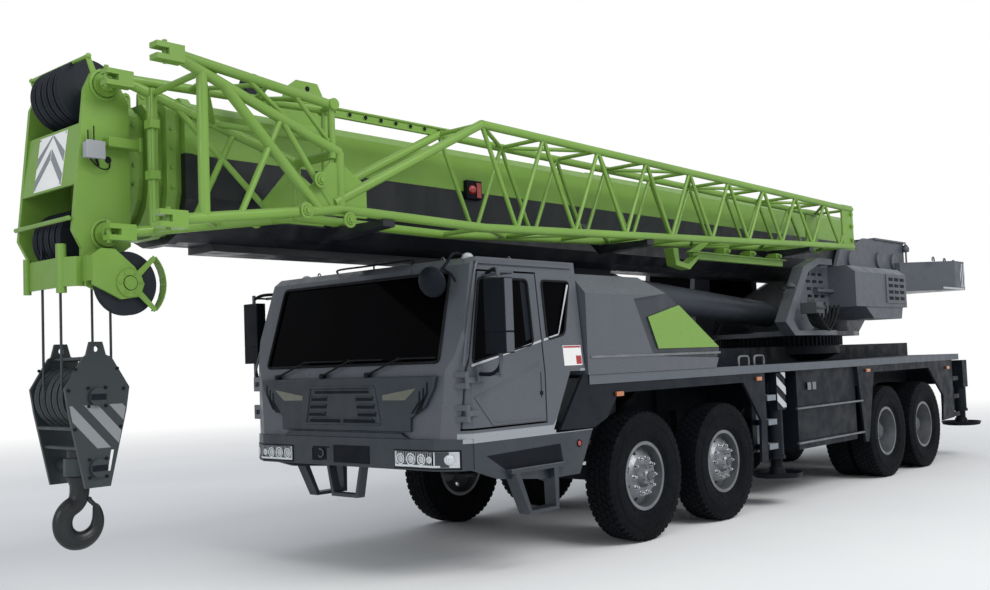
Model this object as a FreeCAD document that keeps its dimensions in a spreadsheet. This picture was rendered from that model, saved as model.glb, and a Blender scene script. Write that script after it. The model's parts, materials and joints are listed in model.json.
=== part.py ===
import FreeCAD, Part
import math
import os
from types import SimpleNamespace

import Sketcher
from FreeCAD import Placement, Rotation, Vector

# Four-axle mobile crane in road order, in millimetres.
# +X is forward, +Y is the left side, +Z is up, and the ground is at z = 0.
# The origin is on the ground under the middle of the overall length.

os.makedirs("parts", exist_ok=True)
document = FreeCAD.newDocument("mobile_crane")
sheet = document.addObject("Spreadsheet::Sheet", "dims")

# Driving sizes. Columns: name, value, meaning.
SIZES = [
    ("nose_x", 7400, "front end of the crane, the guide tube of the boom head"),
    ("tail_x", -7400, "rear end of the crane, the back of the counterweight"),
    ("fit_gap", 0.3, "gap between pieces that are fitted together"),
    ("move_gap", 6, "gap between pieces that move past each other"),
    ("bearing_gap", 0.05, "radial play of a shaft in its bore"),
    # Wheels
    ("axle_1_x", 2150, "first steered axle"),
    ("axle_2_x", 675, "second steered axle"),
    ("axle_3_x", -3670, "first twin-wheel axle"),
    ("axle_4_x", -5020, "second twin-wheel axle"),
    ("wheel_y", 1212, "middle of the outer wheels"),
    ("twin_spacing", 350, "distance between the middles of twin wheels"),
    ("tyre_radius", 613, "tyre outside radius"),
    ("tyre_half_width", 157, "half of the tyre's width"),
    ("tread_half_width", 138, "half of the tread's width"),
    ("shoulder_drop", 30, "fall of the tread at its shoulder"),
    ("rim_radius", 305, "bead seat radius of the rim"),
    ("rim_half_width", 118, "half of the rim's width over its flanges"),
    ("rim_flange", 20, "height of the rim flange"),
    ("rim_wall", 12, "thickness of the rim's barrel and flange"),
    ("disc_wall", 14, "thickness of the wheel disc"),
    ("nut_ring_radius", 190, "outer radius of the raised ring for the wheel nuts"),
    ("front_hub_radius", 105, "radius of the hub of a steered wheel"),
    ("front_hub_reach", 150, "reach of that hub outside the wheel's middle"),
    ("front_disc_bulge", 96, "reach of the nut ring outside the wheel's middle"),
    ("hand_hole_radius", 22, "radius of the round holes in the wheel disc"),
    ("hand_hole_circle", 238, "radius of the circle of those holes"),
    ("hand_hole_count", 8, "number of those holes"),
    ("rear_hub_radius", 135, "radius of the hub of twin wheels"),
    ("rear_hub_reach", 20, "reach of that hub outside the outer wheel's middle"),
    ("hub_inner_reach", 110, "reach of a front hub inside the wheel's middle"),
    ("stub_radius", 45, "radius of a front stub axle"),
    ("rear_stub_radius", 60, "radius of a rear stub axle"),
    # Knuckles and axles
    ("kingpin_y", 1000, "steering pin of a front wheel"),
    ("kingpin_radius", 30, "radius of the steering pin"),
    ("boss_radius", 70, "radius of the axle's eye round the steering pin"),
    ("boss_half_height", 75, "half of the height of that eye"),
    ("lug_wall", 35, "thickness of the knuckle's lugs"),
    ("knuckle_half_width", 70, "half of the knuckle's width"),
    ("knuckle_web", 24, "thickness of the knuckle's web"),
    ("beam_half_width", 60, "half of the width of a front axle beam"),
    ("beam_half_height", 65, "half of the height of a front axle beam"),
    ("rear_tube_radius", 90, "radius of a rear axle tube"),
    ("rear_tube_end_y", 900, "end of a rear axle tube"),
    ("diff_radius", 230, "radius of the final drive housing"),
    ("diff_half_width", 190, "half of the width of that housing"),
    ("spring_y", 420, "middle of the leaf springs"),
    ("spring_half_width", 45, "half of the width of a leaf spring"),
    ("spring_half_length", 600, "half of the length of a leaf spring"),
    ("spring_thickness", 70, "thickness of the leaf stack at the axle"),
    ("spring_end_thickness", 24, "thickness of the leaf stack at its ends"),
    ("hanger_half_length", 40, "half of the length of a spring hanger"),
    ("spring_camber", 130, "rise of the spring's ends over its middle"),
    # Chassis
    ("spine_front_x", 640, "front end of the box frame"),
    ("spine_rear_x", -6760, "rear end of the high part of the box frame"),
    ("spine_half_width", 500, "half of the box frame's width"),
    ("spine_bottom_z", 1120, "bottom of the box frame"),
    ("spine_top_z", 1800, "top of the box frame"),
    ("rail_front_x", 4200, "front end of the rails under the engine and cab"),
    ("rail_y", 420, "middle of a rail"),
    ("rail_half_width", 40, "half of a rail's width"),
    ("rail_bottom_z", 900, "bottom of the rails"),
    ("rail_top_z", 1110, "top of the rails"),
    ("rail_knee_x", 1000, "place where the rails drop below the box frame"),
    ("cross_member_length", 150, "length of the front cross member"),
    ("cab_mount_x", 3750, "rear mount of the cab on the rails"),
    ("cab_mount_length", 160, "length of a cab mount"),
    ("slew_x", -3250, "slewing axis"),
    ("pedestal_radius", 840, "radius of the slewing pedestal"),
    ("pedestal_foot_radius", 640, "radius of the pedestal at the deck"),
    ("pedestal_rim", 110, "height of the pedestal's upright rim"),
    ("ring_height", 125, "height of the slewing ring"),
    ("gear_radius", 882, "tip radius of the slewing ring's teeth"),
    ("tooth_height", 26, "height of a tooth"),
    ("tooth_count", 84, "number of teeth"),
    ("race_radius", 700, "radius of the turning race in the ring"),
    # Outriggers
    ("front_beam_x", -600, "front left outrigger"),
    ("rear_beam_x", -6780, "rear left outrigger"),
    ("beam_pair_spacing", 310, "distance from a left beam back to the right one"),
    ("out_beam_half", 125, "half of the side of an outrigger beam"),
    ("out_beam_bottom_z", 1140, "bottom of the outrigger beams"),
    ("out_tube_wall", 14, "wall of the outrigger housings"),
    ("out_tube_end_y", 1150, "end of the outrigger housings"),
    ("out_beam_inner_y", -1080, "inner end of a left outrigger beam"),
    ("jack_y", 1268, "middle of a jack"),
    ("jack_radius", 92, "radius of a jack housing"),
    ("jack_bore", 70, "radius of the jack's moving leg"),
    ("jack_top_z", 1495, "top of a jack housing"),
    ("jack_head_half", 100, "half of the side of the square jack head"),
    ("jack_head_bottom_z", 1075, "bottom of the square jack head"),
    ("front_jack_bottom_z", 520, "bottom of a front jack housing"),
    ("rear_jack_bottom_z", 700, "bottom of a rear jack housing"),
    ("front_float_z", 310, "underside of a front float"),
    ("rear_float_z", 480, "underside of a rear float"),
    ("float_radius", 290, "radius of a float"),
    ("float_height", 60, "height of a float's dish"),
    ("float_collar", 105, "radius of the collar over a float"),
    # Decks
    ("deck_top_z", 1600, "top of the decks"),
    ("deck_edge_height", 90, "height of the deck's edge"),
    ("deck_plate", 30, "thickness of a deck plate"),
    ("deck_half_width", 1385, "half of the width over the decks"),
    ("skirt_wall", 30, "thickness of a side skirt"),
    ("deck_split_x", -535, "joint between the front and rear decks"),
    ("deck_front_x", 3040, "front end of the front decks"),
    ("deck_rear_x", -6480, "rear end of the rear decks"),
    ("fender_top_x", 3120, "front upper corner of the fender"),
    ("fender_low_x", 3470, "front lower corner of the fender"),
    ("fender_low_z", 1140, "lower edge of the fender"),
    ("fender_inner_x", 2985, "rear end of the fender's lower edge"),
    ("arch_1_low_x", 2780, "front lower corner of the front wheel arch"),
    ("arch_1_low_z", 1205, "height of that corner"),
    ("arch_1_top_x", 2590, "front upper corner of the front wheel arch"),
    ("arch_top_z", 1420, "top of the wheel arches"),
    ("arch_2_top_x", 270, "rear upper corner of the front wheel arch"),
    ("arch_2_knee_x", -95, "knee of the front wheel arch"),
    ("arch_knee_z", 990, "height of the knees of the arches"),
    ("skirt_low_z", 530, "lower edge of the skirts"),
    ("skirt_2_rear_x", -215, "rear edge of the front skirt"),
    ("locker_front_x", -1060, "front end of the lockers"),
    ("locker_rear_x", -2700, "rear end of the lockers"),
    ("locker_depth", 560, "depth of the lockers"),
    ("locker_bottom_z", 580, "bottom of the lockers"),
    ("post_low_front_x", -2860, "front lower corner of the post behind the lockers"),
    ("post_low_rear_x", -2965, "rear lower corner of that post"),
    ("arch_3_top_x", -3230, "front upper corner of the rear wheel arch"),
    ("arch_4_top_x", -5200, "rear upper corner of the rear wheel arch"),
    ("arch_4_knee_x", -5760, "knee of the rear wheel arch"),
    ("arch_4_low_x", -5700, "rear lower corner of the rear wheel arch"),
    ("skirt_4_rear_x", -6180, "rear edge of the rear skirt"),
    ("skirt_4_low_z", 620, "lower edge of the rear skirt"),
    ("rung_length", 235, "length of a ladder step"),
    ("rung_depth", 150, "depth of a ladder step"),
    ("rung_height", 62, "height of a ladder step"),
    ("rung_low_z", 650, "underside of the lowest step"),
    ("rung_pitch", 272, "distance between steps"),
    ("rung_count", 3, "number of steps"),
    # Cab
    ("cab_half_width", 1375, "half of the cab's width at its waist"),
    ("cab_roof_half_width", 1290, "half of the cab's width at its roof"),
    ("cab_waist_z", 1640, "height of the cab's waist"),
    ("cab_bottom_z", 1150, "bottom of the cab"),
    ("cab_front_x", 4715, "foot of the cab's front"),
    ("cab_brow_x", 4690, "foot of the windscreen"),
    ("cab_brow_z", 1700, "height of the foot of the windscreen"),
    ("cab_visor_x", 4450, "top of the windscreen"),
    ("cab_visor_z", 2545, "height of the top of the windscreen"),
    ("cab_roof_front_x", 4370, "front edge of the roof"),
    ("cab_roof_z", 2605, "top of the roof"),
    ("cab_rear_x", 3085, "rear wall of the cab"),
    ("cab_heel_x", 3560, "rear end of the cab's floor"),
    ("cab_hip_x", 3300, "foot of the cab's rear wall"),
    ("cab_corner_x", 4560, "start of the cab's rounded front corners"),
    ("cab_corner_mid_x", 4660, "middle of those corners"),
    ("cab_corner_mid_y", 1290, "half width there"),
    ("cab_nose_half_width", 1150, "half of the width of the flat front"),
    ("cab_wall", 50, "thickness of the cab's walls"),
    ("glass_inset", 10, "depth of the glass below the cab's surface"),
    ("glass_wall", 12, "thickness of the glass"),
    ("screen_low_z", 1760, "lower edge of the windscreen"),
    ("screen_high_z", 2490, "upper edge of the windscreen"),
    ("screen_low_half", 1130, "half of the windscreen's width at its foot"),
    ("screen_high_half", 1095, "half of the windscreen's width at its top"),
    ("door_front_low_x", 4640, "front lower corner of a door"),
    ("door_front_waist_x", 4600, "front edge of a door at the waist"),
    ("door_front_top_x", 4385, "front upper corner of a door"),
    ("door_rear_x", 3640, "rear edge of a door"),
    ("door_low_z", 1215, "lower edge of a door"),
    ("door_top_z", 2500, "upper edge of a door"),
    ("door_gap", 16, "gap round a door"),
    ("pane_front_low_x", 4535, "front lower corner of a door's window"),
    ("pane_front_low_z", 1745, "height of that corner"),
    ("pane_front_top_x", 4370, "front upper corner of a door's window"),
    ("pane_rear_x", 3765, "rear edge of a door's window"),
    ("pane_rear_low_z", 1885, "rear lower corner of a door's window"),
    ("pane_top_z", 2430, "upper edge of the side windows"),
    ("quarter_front_x", 3575, "front edge of the quarter window"),
    ("quarter_low_z", 1920, "front lower corner of the quarter window"),
    ("quarter_rear_low_x", 3325, "rear lower corner of the quarter window"),
    ("quarter_rear_low_z", 1965, "height of that corner"),
    ("quarter_rear_top_x", 3190, "rear upper corner of the quarter window"),
    ("hinge_x", 4630, "hinge line of a cab door"),
    ("hinge_y", 1388, "hinge line of a cab door"),
    ("hinge_pin_radius", 10, "radius of a hinge pin"),
    ("hinge_knuckle_radius", 19, "radius of a hinge's knuckles"),
    ("hinge_knuckle_height", 44, "height of a knuckle"),
    ("mirror_x", 4470, "middle of a mirror"),
    ("mirror_y", 1610, "middle of a mirror"),
    ("mirror_half_width", 105, "half of a mirror's width"),
    ("mirror_half_depth", 45, "half of a mirror's depth"),
    ("mirror_low_z", 1985, "lower edge of the main mirror"),
    ("mirror_high_z", 2390, "upper edge of the main mirror"),
    ("small_mirror_height", 150, "height of the wide-angle mirror"),
    ("mirror_arm_radius", 14, "radius of a mirror arm"),
    ("mirror_arm_top_z", 2452, "height of the upper mirror arm"),
    ("mirror_arm_low_z", 1655, "height of the lower mirror arm"),
    ("seat_y", 650, "middle of a seat"),
    ("seat_half_width", 250, "half of a seat's width"),
    ("seat_rear_x", 3562, "back of a seat"),
    ("seat_length", 480, "length of a seat cushion"),
    ("seat_height", 430, "height of a seat cushion over the floor"),
    ("seat_back_height", 700, "height of a seat's back"),
    ("seat_cushion", 120, "thickness of a seat cushion"),
    ("dash_depth", 330, "depth of the dashboard"),
    ("dash_top_z", 1690, "top of the dashboard"),
    ("dash_half_width", 1120, "half of the dashboard's width"),
    ("steer_wheel_radius", 225, "radius of the steering wheel"),
    ("steer_wheel_x", 4080, "middle of the steering wheel"),
    ("steer_wheel_z", 1860, "middle of the steering wheel"),
    # Front bumper and steps
    ("bumper_front_x", 4755, "front of the bumper"),
    ("bumper_half_flat", 1120, "half of the width of the bumper's flat front"),
    ("bumper_corner_x", 4650, "bumper's corner"),
    ("bumper_corner_y", 1325, "bumper's corner"),
    ("bumper_rear_x", 4290, "rear end of the bumper's sides"),
    ("bumper_low_z", 905, "lower edge of the bumper"),
    ("bumper_wall", 60, "depth of the bumper"),
    ("lamp_low_z", 935, "lower edge of a headlamp"),
    ("lamp_high_z", 1055, "upper edge of a headlamp"),
    ("lamp_inner_y", 700, "inner end of a headlamp"),
    ("lamp_outer_y", 1240, "outer end of a headlamp"),
    ("lamp_proud", 8, "height of a headlamp over the bumper"),
    ("plate_half_width", 250, "half of the width of the number plate"),
    ("tow_y", -330, "middle of the towing recess"),
    ("tow_half_width", 70, "half of the width of the towing recess"),
    ("front_step_low_z", 640, "underside of the front step"),
    ("front_step_half_width", 170, "half of the width of the front step"),
    ("step_bar", 30, "thickness of the step bars"),
    ("side_skirt_low_z", 745, "lower edge of the skirt under a door"),
    ("side_skirt_rear_x", 3010, "rear end of that skirt"),
    ("side_skirt_rear_low_x", 3220, "rear lower corner of that skirt"),
    ("side_skirt_front_x", 4560, "front end of that skirt"),
    ("tread_front_x", 4190, "front end of the upper step"),
    ("tread_rear_x", 3440, "rear end of the upper step"),
    ("tread_z", 870, "top of the upper step"),
    ("tread_out", 60, "reach of the upper step outside the skirt"),
    ("low_step_front_x", 3980, "front end of the lower step"),
    ("low_step_rear_x", 3600, "rear end of the lower step"),
    ("low_step_z", 520, "top of the lower step"),
    # Engine and its cover
    ("hood_front_x", 3065, "front of the engine cover"),
    ("hood_rear_x", 740, "rear edge of the engine cover"),
    ("hood_heel_x", 850, "rear foot of the engine cover"),
    ("hood_rear_z", 1800, "foot of the sloping rear"),
    ("hood_slope_x", 1990, "top of the sloping rear"),
    ("hood_top_z", 2515, "top of the engine cover"),
    ("hood_half_width", 1395, "half of the engine cover's width"),
    ("hood_shoulder_z", 2330, "start of the sloping shoulders"),
    ("hood_top_half_width", 1230, "half of the width of the top"),
    ("hood_wall", 40, "thickness of the cover"),
    ("recess_depth", 22, "depth of the side recess"),
    ("engine_front_x", 2750, "front of the engine"),
    ("engine_rear_x", 1250, "rear of the engine"),
    ("engine_bottom_z", 950, "bottom of the engine"),
    ("engine_top_z", 1980, "top of the engine"),
    # Turntable
    ("base_plate", 60, "thickness of the turntable's base plate"),
    ("base_front_x", -2330, "front edge of the base plate"),
    ("base_shoulder_x", -2640, "front shoulder of the base plate"),
    ("base_back_x", -4000, "rear shoulder of the base plate"),
    ("base_rear_x", -4900, "rear edge of the base plate"),
    ("base_half_width", 800, "half of the base plate's width"),
    ("cheek_inner_y", 452, "inner face of the turntable's side plates"),
    ("cheek_wall", 48, "thickness of the side plates"),
    ("boom_pivot_x", -4750, "boom foot pin"),
    ("boom_pivot_z", 3050, "boom foot pin"),
    ("boom_pin_radius", 70, "radius of the boom foot pin"),
    ("barrel_pivot_x", -3050, "foot pin of the lift cylinder"),
    ("barrel_pivot_z", 2250, "foot pin of the lift cylinder"),
    ("barrel_pin_radius", 55, "radius of the pins of the lift cylinder"),
    ("winch_rear_x", -6840, "rear end of the winch frame"),
    ("winch_top_z", 3420, "top of the winch frame"),
    ("winch_floor_z", 2790, "top of the winch frame's floor"),
    ("winch_1_x", -5775, "front winch"),
    ("winch_2_x", -6360, "rear winch"),
    ("winch_z", 3100, "middle of the winches"),
    ("winch_flange_radius", 265, "radius of a drum's flanges"),
    ("winch_rope_radius", 215, "radius of the wound rope"),
    ("winch_motor_radius", 125, "radius of a winch drive"),
    ("winch_motor_reach", 35, "reach of a winch drive outside the side plate"),
    ("roof_plate", 25, "thickness of the plate over the winches"),
    ("cabinet_front_x", -2500, "front of the side cabinet"),
    ("cabinet_rear_x", -4730, "rear of the side cabinet"),
    ("cabinet_low_z", 2300, "bottom of the side cabinet"),
    ("cabinet_high_z", 2850, "top of the side cabinet"),
    ("cabinet_outer_y", 1300, "outer face of the side cabinet"),
    ("hopper_front_x", -3330, "front of the chute under the cabinet"),
    ("hopper_rear_x", -4620, "rear of the chute"),
    ("hopper_low_z", 2140, "bottom of the chute"),
    ("arm_y", 1000, "middle of the bent guard arm"),
    ("arm_half_width", 75, "half of the guard arm's width"),
    ("gearbox_radius", 130, "radius of the slewing gearbox"),
    ("gearbox_y", 610, "middle of the slewing gearbox"),
    ("gearbox_x", -3950, "middle of the slewing gearbox"),
    ("gearbox_top_z", 2560, "top of the slewing gearbox"),
    # Counterweight
    ("weight_front_x", -6350, "front of the counterweight"),
    ("weight_shoulder_x", -6960, "place where the counterweight reaches its full width"),
    ("weight_front_half", 610, "half of the width of its front"),
    ("weight_half_width", 1250, "half of its full width"),
    ("weight_low_z", 2620, "bottom of the counterweight"),
    ("weight_high_z", 3080, "top of the counterweight"),
    # Operator's cab
    ("op_front_x", -1960, "front foot of the operator's cab"),
    ("op_front_top_x", -2130, "front edge of its roof"),
    ("op_rear_x", -3720, "rear wall of the operator's cab"),
    ("op_inner_y", -520, "inner wall of the operator's cab"),
    ("op_outer_y", -1330, "outer wall of the operator's cab"),
    ("op_high_z", 3480, "top of the operator's cab"),
    ("op_wall", 40, "thickness of its walls"),
    ("op_bracket_front_x", -2150, "front of the bracket under it"),
    ("op_bracket_rear_x", -3500, "rear of the bracket under it"),
    ("op_bracket_outer_y", -1250, "outer end of the bracket under it"),
    ("op_rail_height", 60, "height of the rails of its sliding door"),
    ("op_sill_z", 2420, "lower edge of its side windows"),
    ("op_pillar", 70, "width of its window frames"),
    ("op_door_front_x", -2300, "front edge of its door"),
    ("op_door_rear_x", -3020, "rear edge of its door"),
    ("op_door_wall", 30, "thickness of its door"),
    # Lift cylinder
    ("rod_eye_x", 1350, "eye of the lift cylinder's rod"),
    ("rod_eye_z", 2560, "eye of the lift cylinder's rod"),
    ("barrel_radius", 172, "radius of the lift cylinder"),
    ("barrel_length", 3900, "length of the barrel from its pin"),
    ("rod_radius", 115, "radius of the rod"),
    ("rod_inner_gap", 350, "distance from the barrel's pin to the rod's inner end"),
    ("eye_radius", 120, "radius of the eyes"),
    ("eye_half_width", 115, "half of the width of the eyes"),
    ("ear_pad", 28, "thickness of the pad of the ears under the boom"),
    ("ear_wall", 40, "thickness of the ears"),
    ("ear_reach", 420, "half of the length of that pad"),
    # Boom
    ("boom_front_x", 6490, "front end of the base section"),
    ("boom_tail_x", -5060, "rear end of the base section"),
    ("boom_half_width", 420, "half of the base section's width"),
    ("boom_top_z", 3720, "top of the base section"),
    ("boom_low_z", 2720, "bottom of the base section"),
    ("boom_wall", 14, "wall of the boom sections"),
    ("boom_step", 36, "step from one section to the next"),
    ("boom_bevel", 70, "bevel of the upper corners"),
    ("boom_round", 300, "height of the folded lower part"),
    ("section_2_rear_x", -4300, "rear end of the second section"),
    ("section_lag", 130, "distance between the rear ends of the sections"),
    ("collar_pitch", 128, "distance between the collars"),
    ("collar_length", 75, "length of a collar"),
    ("collar_proud", 22, "height of a collar over its section"),
    ("head_rear_x", 6915, "rear edge of the head's side plates"),
    ("head_front_top_x", 7235, "front upper corner of the head's side plates"),
    ("head_front_low_x", 7330, "front lower corner of the head's side plates"),
    ("head_low_z", 2570, "lower edge of the head's side plates"),
    ("head_top_z", 3740, "upper edge of the head's side plates"),
    ("head_half_width", 420, "half of the head's width"),
    ("head_wall", 36, "thickness of the head's side plates"),
    ("head_front_wall", 25, "thickness of the head's front plate"),
    ("top_sheave_x", 7090, "axle of the upper sheaves"),
    ("top_sheave_z", 3725, "axle of the upper sheaves"),
    ("top_sheave_radius", 225, "radius of the upper sheaves"),
    ("low_sheave_x", 7100, "axle of the lower sheaves"),
    ("low_sheave_z", 2700, "axle of the lower sheaves"),
    ("low_sheave_radius", 215, "radius of the lower sheaves"),
    ("sheave_width", 62, "width of a sheave"),
    ("sheave_pitch", 88, "distance between sheaves"),
    ("sheave_count", 5, "number of sheaves on an axle"),
    ("groove_depth", 22, "depth of a sheave's groove"),
    ("sheave_pin_radius", 50, "radius of a sheave axle"),
    ("rope_radius", 9, "radius of the hoist rope"),
    ("aux_sheave_x", 7010, "auxiliary sheave"),
    ("aux_sheave_y", 505, "auxiliary sheave"),
    ("aux_sheave_z", 2365, "auxiliary sheave"),
    ("aux_sheave_radius", 215, "radius of the auxiliary sheave"),
    ("arm_box_low_z", 2350, "lower edge of the guide arm"),
    ("arm_box_high_z", 2545, "upper edge of the guide arm"),
    ("tray_half_width", 170, "half of the width of the tray under the boom"),
    ("tray_height", 55, "height of the tray under the boom"),
    ("tray_front_x", 6100, "front end of the tray"),
    ("tray_rear_x", 1900, "rear end of the tray"),
    # Stowed lattice jib
    ("jib_outer_y", 1250, "outer chords of the jib"),
    ("jib_inner_y", 750, "inner chords of the jib"),
    ("jib_chord_radius", 36, "radius of the chords"),
    ("jib_brace_radius", 19, "radius of the bracing"),
    ("jib_rear_x", -3080, "rear end of the jib"),
    ("jib_rear_top_z", 3590, "top of the jib's rear end"),
    ("jib_rear_low_z", 3095, "bottom of the jib's rear end"),
    ("jib_peak_x", 4200, "highest frame of the jib"),
    ("jib_peak_top_z", 3715, "top of that frame"),
    ("jib_peak_low_z", 2850, "bottom of that frame"),
    ("jib_elbow_x", 5800, "elbow of the jib"),
    ("jib_elbow_low_z", 2880, "bottom of the elbow"),
    ("jib_elbow_top_z", 3290, "top of the elbow's plates"),
    ("jib_fork_x", 7110, "front forks of the jib"),
    ("jib_fork_top_z", 3740, "upper forks"),
    ("jib_fork_low_z", 2700, "lower forks"),
    ("jib_fork_outer_y", 1300, "outer forks"),
    ("jib_fork_inner_y", 570, "inner forks"),
    ("jib_bays", 9, "number of bays between the peak and the rear"),
    # Hook block
    ("block_x", 7100, "middle of the hook block"),
    ("block_sheave_z", 1610, "axle of the hook block's sheaves"),
    ("block_sheave_radius", 215, "radius of the hook block's sheaves"),
    ("block_plate_y", 242, "inner face of the block's side plates"),
    ("block_plate", 24, "thickness of the block's side plates"),
    ("trunnion_z", 1130, "cross pin that carries the hook"),
    ("trunnion_radius", 48, "radius of that cross pin"),
    ("crosshead_half_height", 60, "half of the height of the cross pin's boss"),
    ("rope_break_z", 2451, "height where the ropes bend as the boom is raised"),
    ("rope_knot_radius", 13, "radius of the ropes at that bend"),
    ("shank_radius", 52, "radius of the hook's shank"),
    ("hook_bowl_z", 745, "middle of the hook's bowl"),
    ("hook_bowl_radius", 130, "radius of the bowl's centre line"),
    ("hook_thickness", 62, "radius of the hook's round section"),
]
ALIASES = [name for name, value, meaning in SIZES]
for row, (name, value, meaning) in enumerate(SIZES, start=1):
    sheet.set("A%d" % row, name)
    sheet.set("B%d" % row, str(value))
    sheet.setAlias("B%d" % row, name)
    sheet.set("C%d" % row, meaning)
document.recompute()


class Size:
    """A size from the sheet, or a sum of sizes, with its value and its expression."""

    def __init__(self, value, text):
        self.value = float(value)
        self.text = text

    def __float__(self):
        return self.value

    def __int__(self):
        return int(self.value)

    def __add__(self, other):
        return Size(self.value + float(other), "(%s + %s)" % (self.text, text_of(other)))

    def __radd__(self, other):
        return Size(float(other) + self.value, "(%s + %s)" % (text_of(other), self.text))

    def __sub__(self, other):
        return Size(self.value - float(other), "(%s - %s)" % (self.text, text_of(other)))

    def __rsub__(self, other):
        return Size(float(other) - self.value, "(%s - %s)" % (text_of(other), self.text))

    def __mul__(self, other):
        return Size(self.value * float(other), "(%s * %s)" % (self.text, text_of(other)))

    __rmul__ = __mul__

    def __truediv__(self, other):
        return Size(self.value / float(other), "(%s / %s)" % (self.text, text_of(other)))

    def __neg__(self):
        return Size(-self.value, "(-1 * %s)" % self.text)


def text_of(value):
    return value.text if isinstance(value, Size) else "%.6f" % float(value)


d = SimpleNamespace()
for name, value, meaning in SIZES:
    setattr(d, name, Size(sheet.get(name), "dims.%s" % name))

FULL_TURN = 360
PLANES = {"XY": "XY_Plane", "XZ": "XZ_Plane", "YZ": "YZ_Plane"}
AXIS_TURN = {
    "X": Rotation(Vector(0, 1, 0), 90),
    "Y": Rotation(Vector(1, 0, 0), -90),
    "Z": Rotation(),
}


def bind(item, prop, size):
    """Set a property to a number, or to a sheet expression."""
    if isinstance(size, Size):
        item.setExpression(prop, size.text)
    else:
        setattr(item, prop, float(size))


def place(item, x, y, z, turn=Rotation()):
    item.Placement = Placement(Vector(float(x), float(y), float(z)), turn)
    for axis, size in zip("xyz", (x, y, z)):
        if isinstance(size, Size):
            item.setExpression("Placement.Base.%s" % axis, size.text)


def box(name, x, y, z):
    """A box between the low and high ends of x, y and z."""
    item = document.addObject("Part::Box", name)
    for prop, (low, high) in zip(("Length", "Width", "Height"), (x, y, z)):
        bind(item, prop, high - low)
    place(item, x[0], y[0], z[0])
    return item


def cylinder(name, axis, centre, span, radius):
    """A cylinder along an axis, with its centre on the other two axes in order."""
    item = document.addObject("Part::Cylinder", name)
    bind(item, "Radius", radius)
    bind(item, "Height", span[1] - span[0])
    places = {
        "X": (span[0], centre[0], centre[1]),
        "Y": (centre[0], span[0], centre[1]),
        "Z": (centre[0], centre[1], span[0]),
    }
    place(item, *places[axis], turn=AXIS_TURN[axis])
    return item


def cone(name, centre, span, low_radius, high_radius):
    """An upright cone."""
    item = document.addObject("Part::Cone", name)
    bind(item, "Radius1", low_radius)
    bind(item, "Radius2", high_radius)
    bind(item, "Height", span[1] - span[0])
    place(item, centre[0], centre[1], span[0])
    return item


def outline(body, plane, points):
    """A closed sketch of straight lines through the points."""
    sketch = body.newObject("Sketcher::SketchObject", body.Name + "_sketch")
    origin_plane = [item for item in body.Origin.OriginFeatures if item.Role == PLANES[plane]][0]
    sketch.AttachmentSupport = (origin_plane, [""])
    sketch.MapMode = "FlatFace"
    corners = [Vector(float(u), float(v), 0) for u, v in points]
    count = len(corners)
    lines = [Part.LineSegment(corners[k], corners[(k + 1) % count]) for k in range(count)]
    sketch.addGeometry(lines, False)
    rules = [Sketcher.Constraint("Coincident", k, 2, (k + 1) % count, 1) for k in range(count)]
    bound = []
    for k, point in enumerate(points):
        for kind, size in zip(("DistanceX", "DistanceY"), point):
            if isinstance(size, Size):
                bound.append((len(rules), size))
            rules.append(Sketcher.Constraint(kind, -1, 1, k, 1, float(size)))
    sketch.addConstraint(rules)
    for index, size in bound:
        sketch.setExpression("Constraints[%d]" % index, size.text)
    return sketch


def prism(name, plane, points, span):
    """A pad of a closed outline, between two places on the plane's normal axis."""
    body = document.addObject("PartDesign::Body", name)
    sketch = outline(body, plane, points)
    start = -span[1] if plane == "XZ" else span[0]
    sketch.AttachmentOffset = Placement(Vector(0, 0, float(start)), Rotation())
    if isinstance(start, Size):
        sketch.setExpression("AttachmentOffset.Base.z", start.text)
    pad = body.newObject("PartDesign::Pad", name + "_pad")
    pad.Profile = sketch
    bind(pad, "Length", span[1] - span[0])
    return body


def lathe(name, axis, profile, at):
    """A turned solid. The profile's points are (place along the axis, radius)."""
    body = document.addObject("PartDesign::Body", name)
    plane = "YZ" if axis == "Y" else "XZ"
    points = [(radius, along) for along, radius in profile] if axis == "Z" else profile
    sketch = outline(body, plane, points)
    turn = body.newObject("PartDesign::Revolution", name + "_turn")
    turn.Profile = sketch
    turn.ReferenceAxis = (sketch, ["V_Axis" if axis == "Z" else "H_Axis"])
    turn.Angle = FULL_TURN
    place(body, *at)
    return body


def fuse(name, *pieces):
    item = document.addObject("Part::MultiFuse", name)
    item.Shapes = list(pieces)
    return item


def common(name, *pieces):
    item = document.addObject("Part::MultiCommon", name)
    item.Shapes = list(pieces)
    return item


def cut(name, base, *tools):
    item = document.addObject("Part::Cut", name)
    item.Base = base
    item.Tool = tools[0] if len(tools) == 1 else fuse(name + "_tools", *tools)
    return item


def group(name, *pieces):
    """Several solids of one sub-part, which don't touch."""
    item = document.addObject("Part::Compound", name)
    item.Links = list(pieces)
    return item


def mirrored(name, source):
    """The other side's copy, across the plane y = 0."""
    item = document.addObject("Part::Mirroring", name)
    item.Source = source
    item.Base = Vector(0, 0, 0)
    item.Normal = Vector(0, 1, 0)
    return item


def computed(name, shape):
    """A shape whose members run askew between computed places."""
    item = document.addObject("Part::Feature", name)
    item.Shape = shape
    return item


NODES = []


def sub_part(label, item):
    item.Label = label
    NODES.append(item)
    return item


def both_sides(stem, item):
    """Label a left sub-part and its mirrored right twin."""
    sub_part(stem + "_left", item)
    sub_part(stem + "_right", mirrored(item.Name + "_twin", item))


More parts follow.
